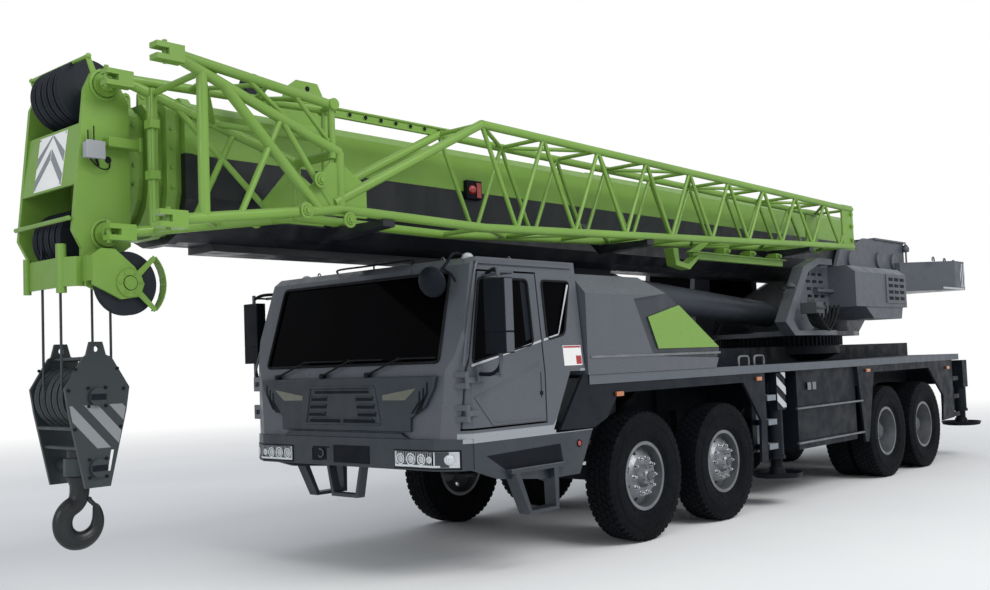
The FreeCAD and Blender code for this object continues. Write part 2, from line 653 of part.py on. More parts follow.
# Tyres and rims
TYRE_BEAD_Y = d.rim_half_width - d.rim_wall - 1
TYRE_LIP_R = d.rim_radius + d.rim_flange + 1
TYRE_PROFILE = [
    (-d.tread_half_width, d.tyre_radius),
    (d.tread_half_width, d.tyre_radius),
    (d.tyre_half_width - 4, d.tyre_radius - d.shoulder_drop),
    (d.tyre_half_width, d.tyre_radius - 140),
    (d.tread_half_width, d.rim_radius + 40),
    (d.rim_half_width + 2, TYRE_LIP_R),
    (TYRE_BEAD_Y, TYRE_LIP_R),
    (TYRE_BEAD_Y, d.rim_radius + d.fit_gap),
    (-TYRE_BEAD_Y, d.rim_radius + d.fit_gap),
    (-TYRE_BEAD_Y, TYRE_LIP_R),
    (-d.rim_half_width - 2, TYRE_LIP_R),
    (-d.tread_half_width, d.rim_radius + 40),
    (-d.tyre_half_width, d.tyre_radius - 140),
    (4 - d.tyre_half_width, d.tyre_radius - d.shoulder_drop),
]
RIM_INNER = d.rim_radius - d.rim_wall
RIM_FLANGE_R = d.rim_radius + d.rim_flange
FLANGE_Y = d.rim_half_width - d.rim_wall


def front_rim(name, x):
    """A steered wheel: barrel, bulged disc with its nut ring, and hub."""
    hub = d.front_hub_radius
    bulge = d.front_disc_bulge
    profile = [
        (-d.rim_half_width, RIM_INNER),
        (-d.rim_half_width, RIM_FLANGE_R),
        (-FLANGE_Y, RIM_FLANGE_R),
        (-FLANGE_Y, d.rim_radius),
        (FLANGE_Y, d.rim_radius),
        (FLANGE_Y, RIM_FLANGE_R),
        (d.rim_half_width, RIM_FLANGE_R),
        (d.rim_half_width, RIM_INNER),
        (d.disc_wall, RIM_INNER),
        (bulge - 30, d.nut_ring_radius + 35),
        (bulge, d.nut_ring_radius),
        (bulge, hub + 8),
        (d.front_hub_reach, hub - 15),
        (d.front_hub_reach, hub - 45),
        (d.front_hub_reach + 16, hub - 60),
        (d.front_hub_reach + 16, 0),
        (d.front_hub_reach - 60, 0),
        (d.front_hub_reach - 60, d.stub_radius + d.bearing_gap),
        (-d.hub_inner_reach, d.stub_radius + d.bearing_gap),
        (-d.hub_inner_reach, hub),
        (bulge - d.disc_wall, hub),
        (bulge - d.disc_wall, d.nut_ring_radius - 10),
        (bulge - 30 - d.disc_wall, d.nut_ring_radius + 20),
        (0, RIM_INNER),
    ]
    return lathe(name, "Y", profile, (x, d.wheel_y, d.tyre_radius))


def hand_holes(name, item, x):
    """Round holes through the disc of a steered wheel."""
    tools = []
    for k in range(int(d.hand_hole_count)):
        angle = 2 * math.pi * (k + 0.5) / float(d.hand_hole_count)
        centre = (
            x + d.hand_hole_circle * math.cos(angle),
            d.tyre_radius + d.hand_hole_circle * math.sin(angle),
        )
        span = (d.wheel_y - 10, d.wheel_y + d.front_disc_bulge)
        tools.append(cylinder("%s_hole_%d" % (name, k), "Y", centre, span, d.hand_hole_radius))
    return cut(name, item, *tools)


def twin_rim(name, x):
    """Both rims of twin wheels with the deep discs between them, and their hub."""
    hub = d.rear_hub_radius
    inner = -d.twin_spacing
    middle = inner / 2
    profile = [
        (inner - d.rim_half_width, RIM_INNER),
        (inner - d.rim_half_width, RIM_FLANGE_R),
        (inner - FLANGE_Y, RIM_FLANGE_R),
        (inner - FLANGE_Y, d.rim_radius),
        (inner + FLANGE_Y, d.rim_radius),
        (inner + FLANGE_Y, RIM_FLANGE_R),
        (inner + d.rim_half_width, RIM_FLANGE_R),
        (inner + d.rim_half_width, RIM_INNER + 6),
        (-d.rim_half_width, RIM_INNER + 6),
        (-d.rim_half_width, RIM_FLANGE_R),
        (-FLANGE_Y, RIM_FLANGE_R),
        (-FLANGE_Y, d.rim_radius),
        (FLANGE_Y, d.rim_radius),
        (FLANGE_Y, RIM_FLANGE_R),
        (d.rim_half_width, RIM_FLANGE_R),
        (d.rim_half_width, RIM_INNER),
        (middle + 60, RIM_INNER - 12),
        (middle + d.disc_wall, RIM_INNER - 60),
        (middle + d.disc_wall, hub + 20),
        (middle + 40, hub),
        (d.rear_hub_reach - 30, hub - 10),
        (d.rear_hub_reach, hub - 45),
        (d.rear_hub_reach, 0),
        (d.rear_hub_reach - 30, 0),
        (d.rear_hub_reach - 30, d.rear_stub_radius + d.bearing_gap),
        (d.rear_tube_end_y + d.move_gap - d.wheel_y, d.rear_stub_radius + d.bearing_gap),
        (d.rear_tube_end_y + d.move_gap - d.wheel_y, hub),
        (middle - d.disc_wall, hub + 20),
        (middle - d.disc_wall, RIM_INNER - 60),
        (middle - 60, RIM_INNER - 12),
    ]
    return lathe(name, "Y", profile, (x, d.wheel_y, d.tyre_radius))


# Columns: axle number, its place, whether it steers.
AXLES = [
    (1, d.axle_1_x, True),
    (2, d.axle_2_x, True),
    (3, d.axle_3_x, False),
    (4, d.axle_4_x, False),
]
for number, axle_x, steers in AXLES:
    stem = "wheel_%d" % number
    at = (axle_x, d.wheel_y, d.tyre_radius)
    tyre = lathe(stem + "_tyre", "Y", TYRE_PROFILE, at)
    if steers:
        rim = hand_holes(stem + "_rim", front_rim(stem + "_blank", axle_x), axle_x)
    else:
        inner_at = (axle_x, d.wheel_y - d.twin_spacing, d.tyre_radius)
        inner_tyre = lathe(stem + "_inner_tyre", "Y", TYRE_PROFILE, inner_at)
        tyre = group(stem + "_tyres", tyre, inner_tyre)
        rim = twin_rim(stem + "_rim", axle_x)
    both_sides("tyre_%d" % number, tyre)
    both_sides("rim_%d" % number, rim)


# Knuckles
def knuckle(name, x):
    hub_z = d.tyre_radius
    lug_low = hub_z - d.boss_half_height - d.move_gap
    lug_high = hub_z + d.boss_half_height + d.move_gap
    web_y = d.kingpin_y + d.boss_radius + d.move_gap
    stub_end = d.wheel_y + d.front_hub_reach - 60 - d.move_gap
    across = (x - d.knuckle_half_width, x + d.knuckle_half_width)
    pin_centre = (x, d.kingpin_y)
    pieces = [
        cylinder(name + "_pin", "Z", pin_centre, (lug_low - 1, lug_high + 1), d.kingpin_radius),
        cylinder(name + "_low_lug", "Z", pin_centre, (lug_low - d.lug_wall, lug_low), d.boss_radius),
        cylinder(name + "_top_lug", "Z", pin_centre, (lug_high, lug_high + d.lug_wall), d.boss_radius),
        box(name + "_low_arm", across, (d.kingpin_y, web_y + 1), (lug_low - d.lug_wall, lug_low)),
        box(name + "_top_arm", across, (d.kingpin_y, web_y + 1), (lug_high, lug_high + d.lug_wall)),
        box(name + "_web", across, (web_y, web_y + d.knuckle_web),
            (lug_low - d.lug_wall, lug_high + d.lug_wall)),
        cylinder(name + "_stub", "Y", (x, hub_z), (web_y + 1, stub_end), d.stub_radius),
    ]
    return fuse(name, *pieces)


for number, axle_x, steers in AXLES:
    if steers:
        both_sides("knuckle_%d" % number, knuckle("steering_knuckle_%d" % number, axle_x))


# Axles with their leaf springs
def leaf_spring(name, x, seat_z, front_top_z, rear_top_z, side):
    """A cambered leaf stack on the axle, with a hanger at each end."""
    middle_y = side * d.spring_y
    span = (middle_y - d.spring_half_width, middle_y + d.spring_half_width)
    reach = d.spring_half_length
    end_z = seat_z + d.spring_camber
    stack = prism(name + "_leaves", "XZ", [
        (x - reach, end_z),
        (x - reach / 2, seat_z + d.spring_camber / 4),
        (x - 70, seat_z - 1),
        (x + 70, seat_z - 1),
        (x + reach / 2, seat_z + d.spring_camber / 4),
        (x + reach, end_z),
        (x + reach, end_z + d.spring_end_thickness),
        (x + reach / 2, seat_z + d.spring_camber / 4 + 50),
        (x, seat_z + d.spring_thickness),
        (x - reach / 2, seat_z + d.spring_camber / 4 + 50),
        (x - reach, end_z + d.spring_end_thickness),
    ], span)
    hangers = []
    for end, direction, hanger_top_z in (("front", 1, front_top_z), ("rear", -1, rear_top_z)):
        end_x = x + direction * (reach - d.hanger_half_length)
        hangers.append(prism("%s_%s_hanger" % (name, end), "XZ", [
            (end_x - d.hanger_half_length, end_z),
            (end_x + d.hanger_half_length, end_z),
            (end_x + d.hanger_half_length * 2, hanger_top_z),
            (end_x - d.hanger_half_length * 2, hanger_top_z),
        ], span))
    return [stack] + hangers


def front_axle(name, x, rear_top_z):
    hub_z = d.tyre_radius
    pieces = [box(name + "_beam", (x - d.beam_half_width, x + d.beam_half_width),
                  (-d.kingpin_y, d.kingpin_y),
                  (hub_z - d.beam_half_height, hub_z + d.beam_half_height))]
    bores = []
    for side, sign in (("left", 1), ("right", -1)):
        centre = (x, sign * d.kingpin_y)
        low = hub_z - d.boss_half_height
        high = hub_z + d.boss_half_height
        pieces.append(cylinder("%s_%s_boss" % (name, side), "Z", centre, (low, high), d.boss_radius))
        bores.append(cylinder("%s_%s_bore" % (name, side), "Z", centre, (low - 1, high + 1),
                              d.kingpin_radius + d.bearing_gap))
        pieces += leaf_spring("%s_%s_spring" % (name, side), x, hub_z + d.beam_half_height,
                              d.rail_bottom_z, rear_top_z, sign)
    return cut(name, fuse(name + "_solid", *pieces), *bores)


def rear_axle(name, x):
    hub_z = d.tyre_radius
    stub_end = d.wheel_y + d.rear_hub_reach - 30 - d.move_gap
    profile = [
        (-stub_end, 0), (-stub_end, d.rear_stub_radius),
        (-d.rear_tube_end_y, d.rear_stub_radius), (-d.rear_tube_end_y, d.rear_tube_radius),
        (-d.diff_half_width, d.rear_tube_radius + 20), (-d.diff_half_width / 2, d.diff_radius),
        (d.diff_half_width / 2, d.diff_radius), (d.diff_half_width, d.rear_tube_radius + 20),
        (d.rear_tube_end_y, d.rear_tube_radius), (d.rear_tube_end_y, d.rear_stub_radius),
        (stub_end, d.rear_stub_radius), (stub_end, 0),
    ]
    pieces = [lathe(name + "_casing", "Y", profile, (x, 0, hub_z))]
    for side, sign in (("left", 1), ("right", -1)):
        pieces += leaf_spring("%s_%s_spring" % (name, side), x, hub_z + d.rear_tube_radius - 8,
                              d.spine_bottom_z, d.spine_bottom_z, sign)
    return fuse(name, *pieces)


sub_part("axles", group(
    "axle_set",
    front_axle("axle_1", d.axle_1_x, d.rail_bottom_z),
    front_axle("axle_2", d.axle_2_x, d.spine_bottom_z),
    rear_axle("axle_3", d.axle_3_x),
    rear_axle("axle_4", d.axle_4_x),
))


# Outriggers. Columns: name, beam's middle, side, jack housing's bottom, float's underside.
OUTRIGGERS = [
    ("front_left", d.front_beam_x, 1, d.front_jack_bottom_z, d.front_float_z),
    ("front_right", d.front_beam_x - d.beam_pair_spacing, -1, d.front_jack_bottom_z,
     d.front_float_z),
    ("rear_left", d.rear_beam_x, 1, d.rear_jack_bottom_z, d.rear_float_z),
    ("rear_right", d.rear_beam_x - d.beam_pair_spacing, -1, d.rear_jack_bottom_z, d.rear_float_z),
]
BEAM_TOP_Z = d.out_beam_bottom_z + 2 * d.out_beam_half


def ordered(first, second):
    return (first, second) if float(first) < float(second) else (second, first)


def outrigger_beam(name, x, sign, housing_bottom):
    inner = sign * d.out_beam_inner_y
    jack_y = sign * d.jack_y
    head = d.jack_head_half
    pieces = [
        box(name + "_bar", (x - d.out_beam_half, x + d.out_beam_half), ordered(inner, jack_y),
            (d.out_beam_bottom_z, BEAM_TOP_Z)),
        box(name + "_head", (x - head, x + head), (jack_y - head, jack_y + head),
            (d.jack_head_bottom_z, d.jack_top_z)),
        cylinder(name + "_housing", "Z", (x, jack_y), (housing_bottom, d.jack_top_z - 10),
                 d.jack_radius),
        cylinder(name + "_rim", "Z", (x, jack_y), (housing_bottom, housing_bottom + 40),
                 d.jack_radius + 14),
    ]
    bore = cylinder(name + "_bore", "Z", (x, jack_y), (housing_bottom - 1, d.jack_top_z - 60),
                    d.jack_bore + d.fit_gap)
    return cut(name, fuse(name + "_solid", *pieces), bore)


def jack_leg(name, x, sign, float_z):
    """The moving leg with its collar and the round dished float."""
    top = d.jack_top_z - 60 - d.move_gap
    profile = [
        (0, 0), (0, d.float_radius - 70), (10, d.float_radius - 20), (d.float_height, d.float_radius),
        (d.float_height, d.float_radius - 14), (24, d.float_radius - 40), (24, d.float_collar),
        (d.float_height + 45, d.float_collar - 20), (d.float_height + 60, d.jack_bore),
        (top - float_z, d.jack_bore), (top - float_z, 0),
    ]
    return lathe(name, "Z", profile, (x, sign * d.jack_y, float_z))


for name, beam_x, sign, housing_bottom, float_z in OUTRIGGERS:
    sub_part("outrigger_" + name, outrigger_beam("beam_" + name, beam_x, sign, housing_bottom))
    sub_part("jack_" + name, jack_leg("leg_" + name, beam_x, sign, float_z))


# Chassis frame
def chassis_frame():
    half = d.spine_half_width
    tube_rise = d.out_tube_wall
    pieces = [
        box("spine", (d.spine_rear_x, d.spine_front_x), (-half, half),
            (d.spine_bottom_z, d.spine_top_z)),
        lathe("pedestal", "Z", [
            (d.deck_top_z + d.move_gap, 0),
            (d.deck_top_z + d.move_gap, d.pedestal_foot_radius),
            (d.spine_top_z - d.pedestal_rim, d.pedestal_radius),
            (d.spine_top_z, d.pedestal_radius),
            (d.spine_top_z, 0),
        ], (d.slew_x, 0, 0)),
        box("tail_frame", (d.rear_beam_x - d.beam_pair_spacing - d.out_beam_half,
                           d.spine_rear_x + 1), (-half, half),
            (d.spine_bottom_z, BEAM_TOP_Z + 60)),
        box("front_cross_member", (d.rail_front_x - d.cross_member_length, d.rail_front_x),
            (-d.rail_y, d.rail_y), (d.rail_bottom_z, d.rail_top_z)),
    ]
    for side, sign in (("left", 1), ("right", -1)):
        span = ordered(sign * (d.rail_y - d.rail_half_width), sign * (d.rail_y + d.rail_half_width))
        pieces.append(prism("rail_" + side, "XZ", [
            (d.spine_front_x - 1, d.spine_bottom_z),
            (d.rail_knee_x + 150, d.rail_bottom_z),
            (d.rail_front_x, d.rail_bottom_z),
            (d.rail_front_x, d.rail_top_z),
            (d.rail_knee_x + 350, d.rail_top_z),
            (d.spine_front_x - 1, d.spine_top_z - 330),
        ], span))
        for end, mount_x in (("front", d.rail_front_x - d.cab_mount_length), ("rear", d.cab_mount_x)):
            pieces.append(box("cab_mount_%s_%s" % (end, side), (mount_x, mount_x + d.cab_mount_length),
                              span, (d.rail_top_z - 1, d.cab_bottom_z - d.fit_gap)))
    bores = []
    for name, beam_x, sign, housing_bottom, float_z in OUTRIGGERS:
        bore = d.out_beam_half + d.move_gap
        outer = bore + tube_rise
        end = sign * d.out_tube_end_y
        closed = -sign * d.out_tube_end_y
        pieces.append(box("housing_" + name, (beam_x - outer, beam_x + outer),
                          ordered(end, closed),
                          (d.out_beam_bottom_z - d.fit_gap - tube_rise,
                           BEAM_TOP_Z + d.move_gap + tube_rise)))
        bores.append(box("housing_bore_" + name, (beam_x - bore, beam_x + bore),
                         ordered(end + sign, sign * (d.out_beam_inner_y - d.move_gap)),
                         (d.out_beam_bottom_z - d.fit_gap, BEAM_TOP_Z + d.move_gap)))
    return cut("frame", fuse("frame_solid", *pieces), *bores)


sub_part("chassis_frame", chassis_frame())


# Slewing ring with its outer teeth
def slewing_ring():
    tip = float(d.gear_radius)
    root = tip - float(d.tooth_height)
    count = int(d.tooth_count)
    pitch = 2 * math.pi / count
    # Columns: place in the pitch, radius.
    tooth = ((0.0, root), (0.28, root), (0.40, tip), (0.60, tip), (0.72, root))
    points = []
    for k in range(count):
        for share, radius in tooth[1:]:
            angle = (k + share) * pitch
            points.append(Vector(radius * math.cos(angle), radius * math.sin(angle), 0))
    points.append(points[0])
    rim = Part.Face(Part.makePolygon(points)).extrude(Vector(0, 0, float(d.ring_height)))
    bore = Part.makeCylinder(float(d.race_radius + d.bearing_gap), float(d.ring_height))
    ring = computed("toothed_ring", rim.cut(bore))
    place(ring, d.slew_x, 0, d.spine_top_z)
    return ring


sub_part("slew_ring", slewing_ring())


# Decks with their skirts, wheel arches, lockers and steps
def ladder(name, high_x):
    """Steps that stand out behind a skirt's rear edge, on an inner plate."""
    outer = d.deck_half_width - 5
    steps = []
    for k in range(int(d.rung_count)):
        low = d.rung_low_z + k * d.rung_pitch
        steps.append(box("%s_step_%d" % (name, k), (high_x - d.rung_length, high_x + 1),
                         (outer - d.rung_depth, outer), (low, low + d.rung_height)))
    steps.append(box(name + "_back", (high_x - d.rung_length, high_x + 60),
                     (outer - d.rung_depth - 20, outer - d.rung_depth + 1),
                     (d.rung_low_z - 30, d.deck_top_z - d.deck_edge_height + 1)))
    return steps


def front_deck():
    edge_low = d.deck_top_z - d.deck_edge_height
    outer = d.deck_half_width
    inner = d.spine_half_width
    skirt_span = (outer - 8 - d.skirt_wall, outer - 8)
    deck = [
        box("front_deck_plate", (d.deck_split_x + d.move_gap, d.deck_front_x), (inner, outer),
            (d.deck_top_z - d.deck_plate, d.deck_top_z)),
        box("front_deck_edge", (d.deck_split_x + d.move_gap, d.deck_front_x), (outer - 45, outer),
            (edge_low, d.deck_top_z)),
        prism("front_skirt", "XZ", [
            (d.fender_top_x, d.deck_top_z),
            (d.fender_low_x, d.fender_low_z),
            (d.fender_inner_x, d.fender_low_z - 10),
            (d.arch_1_low_x, d.arch_1_low_z),
            (d.arch_1_top_x, d.arch_top_z),
            (d.arch_2_top_x, d.arch_top_z),
            (d.arch_2_knee_x, d.arch_knee_z),
            (d.arch_2_knee_x + 30, d.skirt_low_z),
            (d.skirt_2_rear_x, d.skirt_low_z),
            (d.skirt_2_rear_x, d.deck_top_z - 1),
        ], skirt_span),
    ]
    deck += ladder("front_ladder", d.skirt_2_rear_x)
    return fuse("front_deck", *deck)


def rear_deck():
    edge_low = d.deck_top_z - d.deck_edge_height
    outer = d.deck_half_width
    inner = d.spine_half_width
    skirt_span = (outer - 8 - d.skirt_wall, outer - 8)
    deck = [
        box("rear_deck_plate", (d.deck_rear_x, d.deck_split_x), (inner, outer),
            (d.deck_top_z - d.deck_plate, d.deck_top_z)),
        box("rear_deck_edge", (d.deck_rear_x, d.deck_split_x), (outer - 45, outer),
            (edge_low, d.deck_top_z)),
        prism("rear_skirt", "XZ", [
            (d.locker_rear_x + 1, edge_low + 1),
            (d.post_low_front_x, d.skirt_low_z),
            (d.post_low_rear_x, d.skirt_low_z),
            (d.arch_3_top_x, d.arch_top_z),
            (d.arch_4_top_x, d.arch_top_z),
            (d.arch_4_knee_x, d.arch_knee_z),
            (d.arch_4_low_x, d.skirt_4_low_z),
            (d.skirt_4_rear_x, d.skirt_4_low_z + 20),
            (d.skirt_4_rear_x, edge_low + 1),
        ], skirt_span),
        box("locker", (d.locker_rear_x, d.locker_front_x),
            (outer - 50 - d.locker_depth, outer - 50),
            (d.locker_bottom_z, d.deck_top_z - d.deck_plate + 1)),
    ]
    deck += ladder("rear_ladder", d.skirt_4_rear_x)
    return fuse("rear_deck", *deck)


front = front_deck()
rear = rear_deck()
sub_part("decks", group("deck_set", front, rear, mirrored("front_deck_twin", front),
                        mirrored("rear_deck_twin", rear)))


# Cab
def cab_solid(name, inset):
    """The cab's outer form, or the same form some way inside it."""
    side = prism(name + "_side", "XZ", [
        (d.cab_front_x - inset, d.cab_bottom_z + inset),
        (d.cab_brow_x - inset, d.cab_brow_z),
        (d.cab_visor_x - inset, d.cab_visor_z - inset / 2),
        (d.cab_roof_front_x - inset / 2, d.cab_roof_z - inset),
        (d.cab_rear_x + inset, d.cab_roof_z - inset),
        (d.cab_rear_x + inset, d.cab_waist_z + inset),
        (d.cab_hip_x + inset, d.cab_waist_z + inset),
        (d.cab_heel_x + inset, d.cab_bottom_z + inset),
    ], (-d.cab_half_width, d.cab_half_width))
    plan = prism(name + "_plan", "XY", [
        (d.cab_front_x + 1, -d.cab_nose_half_width),
        (d.cab_front_x + 1, d.cab_nose_half_width),
        (d.cab_corner_mid_x - inset, d.cab_corner_mid_y - inset),
        (d.cab_corner_x, d.cab_half_width - inset),
        (d.cab_rear_x - 1, d.cab_half_width - inset),
        (d.cab_rear_x - 1, inset - d.cab_half_width),
        (d.cab_corner_x, inset - d.cab_half_width),
        (d.cab_corner_mid_x - inset, inset - d.cab_corner_mid_y),
    ], (d.cab_bottom_z - 1, d.cab_roof_z + 1))
    front = prism(name + "_front", "YZ", [
        (inset - d.cab_half_width, d.cab_bottom_z - 1),
        (d.cab_half_width - inset, d.cab_bottom_z - 1),
        (d.cab_half_width - inset, d.cab_waist_z),
        (d.cab_roof_half_width - inset, d.cab_roof_z),
        (inset - d.cab_roof_half_width, d.cab_roof_z),
        (inset - d.cab_half_width, d.cab_waist_z),
    ], (d.cab_rear_x - 2, d.cab_front_x + 2))
    return common(name, side, plan, front)


def door_outline(gap):
    return [
        (d.door_front_low_x - gap, d.door_low_z + gap),
        (d.door_front_waist_x - gap, d.cab_brow_z),
        (d.door_front_top_x - gap, d.door_top_z - gap),
        (d.door_rear_x + gap, d.door_top_z - gap),
        (d.door_rear_x + gap, d.door_low_z + gap),
    ]


PANE = [
    (d.pane_front_low_x, d.pane_front_low_z),
    (d.pane_front_top_x, d.pane_top_z),
    (d.pane_rear_x, d.pane_top_z),
    (d.pane_rear_x, d.pane_rear_low_z),
]
QUARTER_PANE = [
    (d.quarter_front_x, d.quarter_low_z),
    (d.quarter_rear_low_x, d.quarter_rear_low_z),
    (d.quarter_rear_top_x, d.pane_top_z),
    (d.quarter_front_x, d.pane_top_z),
]
SCREEN = [
    (-d.screen_low_half, d.screen_low_z),
    (d.screen_low_half, d.screen_low_z),
    (d.screen_high_half, d.screen_high_z),
    (-d.screen_high_half, d.screen_high_z),
]
cab_outer = cab_solid("cab_outer", 0)
cab_inner = cab_solid("cab_inner", d.cab_wall)
cab_walls = cut("cab_walls", cab_outer, cab_inner)
pane_outer = cab_solid("pane_outer", d.glass_inset)
pane_inner = cab_solid("pane_inner", d.glass_inset + d.glass_wall)
pane_layer = cut("pane_layer", pane_outer, pane_inner)
ACROSS = (-d.cab_half_width - 1, d.cab_half_width + 1)
LEFT_HALF = (0, d.cab_half_width + 1)
SCREEN_SPAN = (d.cab_roof_front_x - 80, d.cab_front_x + 5)

# Columns: name of a door hinge, underside of the door's knuckle.
HINGES = (("low", 1330), ("high", 1590))


def cab_hinges():
    """The pins of the left door's hinges, with the brackets that carry them."""
    tall = d.hinge_knuckle_height
    pieces = []
    for name, low in HINGES:
        pieces.append(cylinder("hinge_pin_" + name, "Z", (d.hinge_x, d.hinge_y),
                               (low - tall, low + 2 * tall), d.hinge_pin_radius))
        spans = ((low - tall, low - d.fit_gap), (low + tall + d.fit_gap, low + 2 * tall))
        for k, span in enumerate(spans):
            pieces.append(cylinder("hinge_end_%s_%d" % (name, k), "Z", (d.hinge_x, d.hinge_y),
                                   span, d.hinge_knuckle_radius))
            pieces.append(prism("hinge_bracket_%s_%d" % (name, k), "XY", [
                (d.cab_corner_mid_x - 15, d.cab_corner_mid_y - 10),
                (d.cab_corner_mid_x + 10, d.cab_corner_mid_y - 35),
                (d.hinge_x + d.hinge_knuckle_radius, d.hinge_y),
                (d.hinge_x, d.hinge_y + d.hinge_knuckle_radius),
                (d.hinge_x - d.hinge_knuckle_radius + 3, d.hinge_y - 9),
            ], span))
    return fuse("hinge_set", *pieces)


hinge_set = cab_hinges()
sub_part("cab_shell", fuse(
    "cab_body",
    cut("cab_opened", cab_walls,
        prism("doorway", "XZ", door_outline(0), ACROSS),
        prism("quarter_opening", "XZ", QUARTER_PANE, ACROSS),
        prism("screen_opening", "YZ", SCREEN, SCREEN_SPAN)),
    hinge_set, mirrored("hinge_set_twin", hinge_set),
))
sub_part("cab_glass", group(
    "fixed_glass",
    common("windscreen", pane_layer, prism("screen_pane", "YZ", SCREEN, SCREEN_SPAN)),
    common("quarter_glass", pane_layer, prism("quarter_pane", "XZ", QUARTER_PANE, LEFT_HALF)),
    mirrored("quarter_glass_twin", document.getObject("quarter_glass")),
))


def cab_door():
    """A door cut from the cab's wall, with its mirrors on their arms."""
    leaf = common("door_leaf", cab_walls,
                  prism("door_blank", "XZ", door_outline(d.door_gap), LEFT_HALF))
    frame = cut("door_frame", leaf, prism("pane_opening", "XZ", PANE, LEFT_HALF))
    x = d.mirror_x
    y = d.mirror_y
    arm = d.mirror_arm_radius
    deep = (x - d.mirror_half_depth, x + d.mirror_half_depth)
    wide = (y - d.mirror_half_width, y + d.mirror_half_width)
    small_high = d.mirror_low_z - 15
    wall_top = d.cab_roof_half_width - d.cab_wall / 2
    wall_low = d.cab_half_width - d.cab_wall / 2
    mirrors = [
        box("main_mirror", deep, wide, (d.mirror_low_z, d.mirror_high_z)),
        box("wide_mirror", deep, wide, (small_high - d.small_mirror_height, small_high)),
        cylinder("mirror_post", "Z", (x, y), (d.mirror_arm_low_z - 2 * arm,
                                              d.mirror_arm_top_z + 2 * arm), arm + 3),
        cylinder("mirror_top_arm", "Y", (x - 160, d.mirror_arm_top_z), (wall_top, y + 10), arm),
        box("mirror_top_bar", (x - 160, x), (y - 10, y + 8),
            (d.mirror_arm_top_z - 9, d.mirror_arm_top_z + 9)),
        cylinder("mirror_low_arm", "Y", (x, d.mirror_arm_low_z), (wall_low, y), arm),
        box("mirror_foot", (x - 55, x + 55), (wall_low, d.cab_half_width + 35),
            (d.mirror_arm_low_z - 60, d.mirror_arm_low_z + 60)),
    ]
    bores = []
    for name, low in HINGES:
        span = (low, low + d.hinge_knuckle_height)
        mirrors.append(cylinder("door_knuckle_" + name, "Z", (d.hinge_x, d.hinge_y), span,
                                d.hinge_knuckle_radius))
        mirrors.append(prism("door_strap_" + name, "XY", [
            (d.cab_corner_x - 60, d.cab_half_width - 8), (d.cab_corner_x, d.cab_half_width - 8),
            (d.cab_corner_x + 30, d.cab_half_width - 35), (d.hinge_x, d.hinge_y - 18),
            (d.hinge_x, d.hinge_y + d.hinge_knuckle_radius),
            (d.cab_corner_x - 60, d.cab_half_width + 8),
        ], span))
        bores.append(cylinder("door_bore_" + name, "Z", (d.hinge_x, d.hinge_y),
                              (low - 1, low + d.hinge_knuckle_height + 1),
                              d.hinge_pin_radius + d.bearing_gap))
    return cut("cab_door", fuse("cab_door_set", frame, *mirrors), *bores)


both_sides("door", cab_door())
both_sides("door_glass", common("door_pane", pane_layer,
                                prism("door_pane_blank", "XZ", PANE, LEFT_HALF)))


def cab_interior():
    floor = d.cab_bottom_z + d.cab_wall
    front = d.cab_brow_x - d.cab_wall - 25
    dash = prism("dash_board", "XZ", [
        (front - 20, floor), (front - 20, d.dash_top_z - 120), (front - 90, d.dash_top_z),
        (front - d.dash_depth, d.dash_top_z - 40), (front - d.dash_depth, d.dash_top_z - 260),
        (front - 120, floor + 200), (front - 120, floor),
    ], (-d.dash_half_width, d.dash_half_width))
    column = computed("steering_column", skew_rod(
        (front - d.dash_depth + 40, d.seat_y, d.dash_top_z - 170),
        (d.steer_wheel_x, d.seat_y, d.steer_wheel_z), 32))
    wheel = document.addObject("Part::Torus", "steering_wheel")
    bind(wheel, "Radius1", d.steer_wheel_radius)
    wheel.Radius2 = 17
    place(wheel, d.steer_wheel_x, d.seat_y, d.steer_wheel_z, Rotation(Vector(0, 1, 0), -35))
    spoke = computed("steering_spoke", turned_spoke())
    pieces = [fuse("dash_set", dash, column, wheel, spoke)]
    for side, sign in (("left", 1), ("right", -1)):
        span = ordered(sign * (d.seat_y - d.seat_half_width), sign * (d.seat_y + d.seat_half_width))
        rear = d.seat_rear_x
        top = floor + d.seat_height
        pieces.append(prism("seat_" + side, "XZ", [
            (rear + 60, floor), (rear + d.seat_length - 60, floor),
            (rear + d.seat_length - 60, top - d.seat_cushion),
            (rear + d.seat_length + 20, top - d.seat_cushion),
            (rear + d.seat_length + 30, top - 20), (rear + d.seat_length - 20, top),
            (rear + 130, top - 15), (rear + 60, top + d.seat_back_height - 20),
            (rear + 20, top + d.seat_back_height), (rear - 40, top + d.seat_back_height - 20),
            (rear, top - d.seat_cushion), (rear + 60, top - d.seat_cushion),
        ], span))
    return group("interior", *pieces)


def skew_rod(start, end, radius):
    """A round bar between two points."""
    first = Vector(*[float(value) for value in start])
    second = Vector(*[float(value) for value in end])
    run = second - first
    return Part.makeCylinder(float(radius), run.Length, first, run)


def turned_spoke():
    reach = float(d.steer_wheel_radius)
    bar = Part.makeBox(2 * reach, 50, 20, Vector(-reach, -25, -10))
    bar.rotate(Vector(0, 0, 0), Vector(0, 1, 0), -35)
    bar.translate(Vector(float(d.steer_wheel_x), float(d.seat_y), float(d.steer_wheel_z)))
    return bar


sub_part("cab_interior", cab_interior())


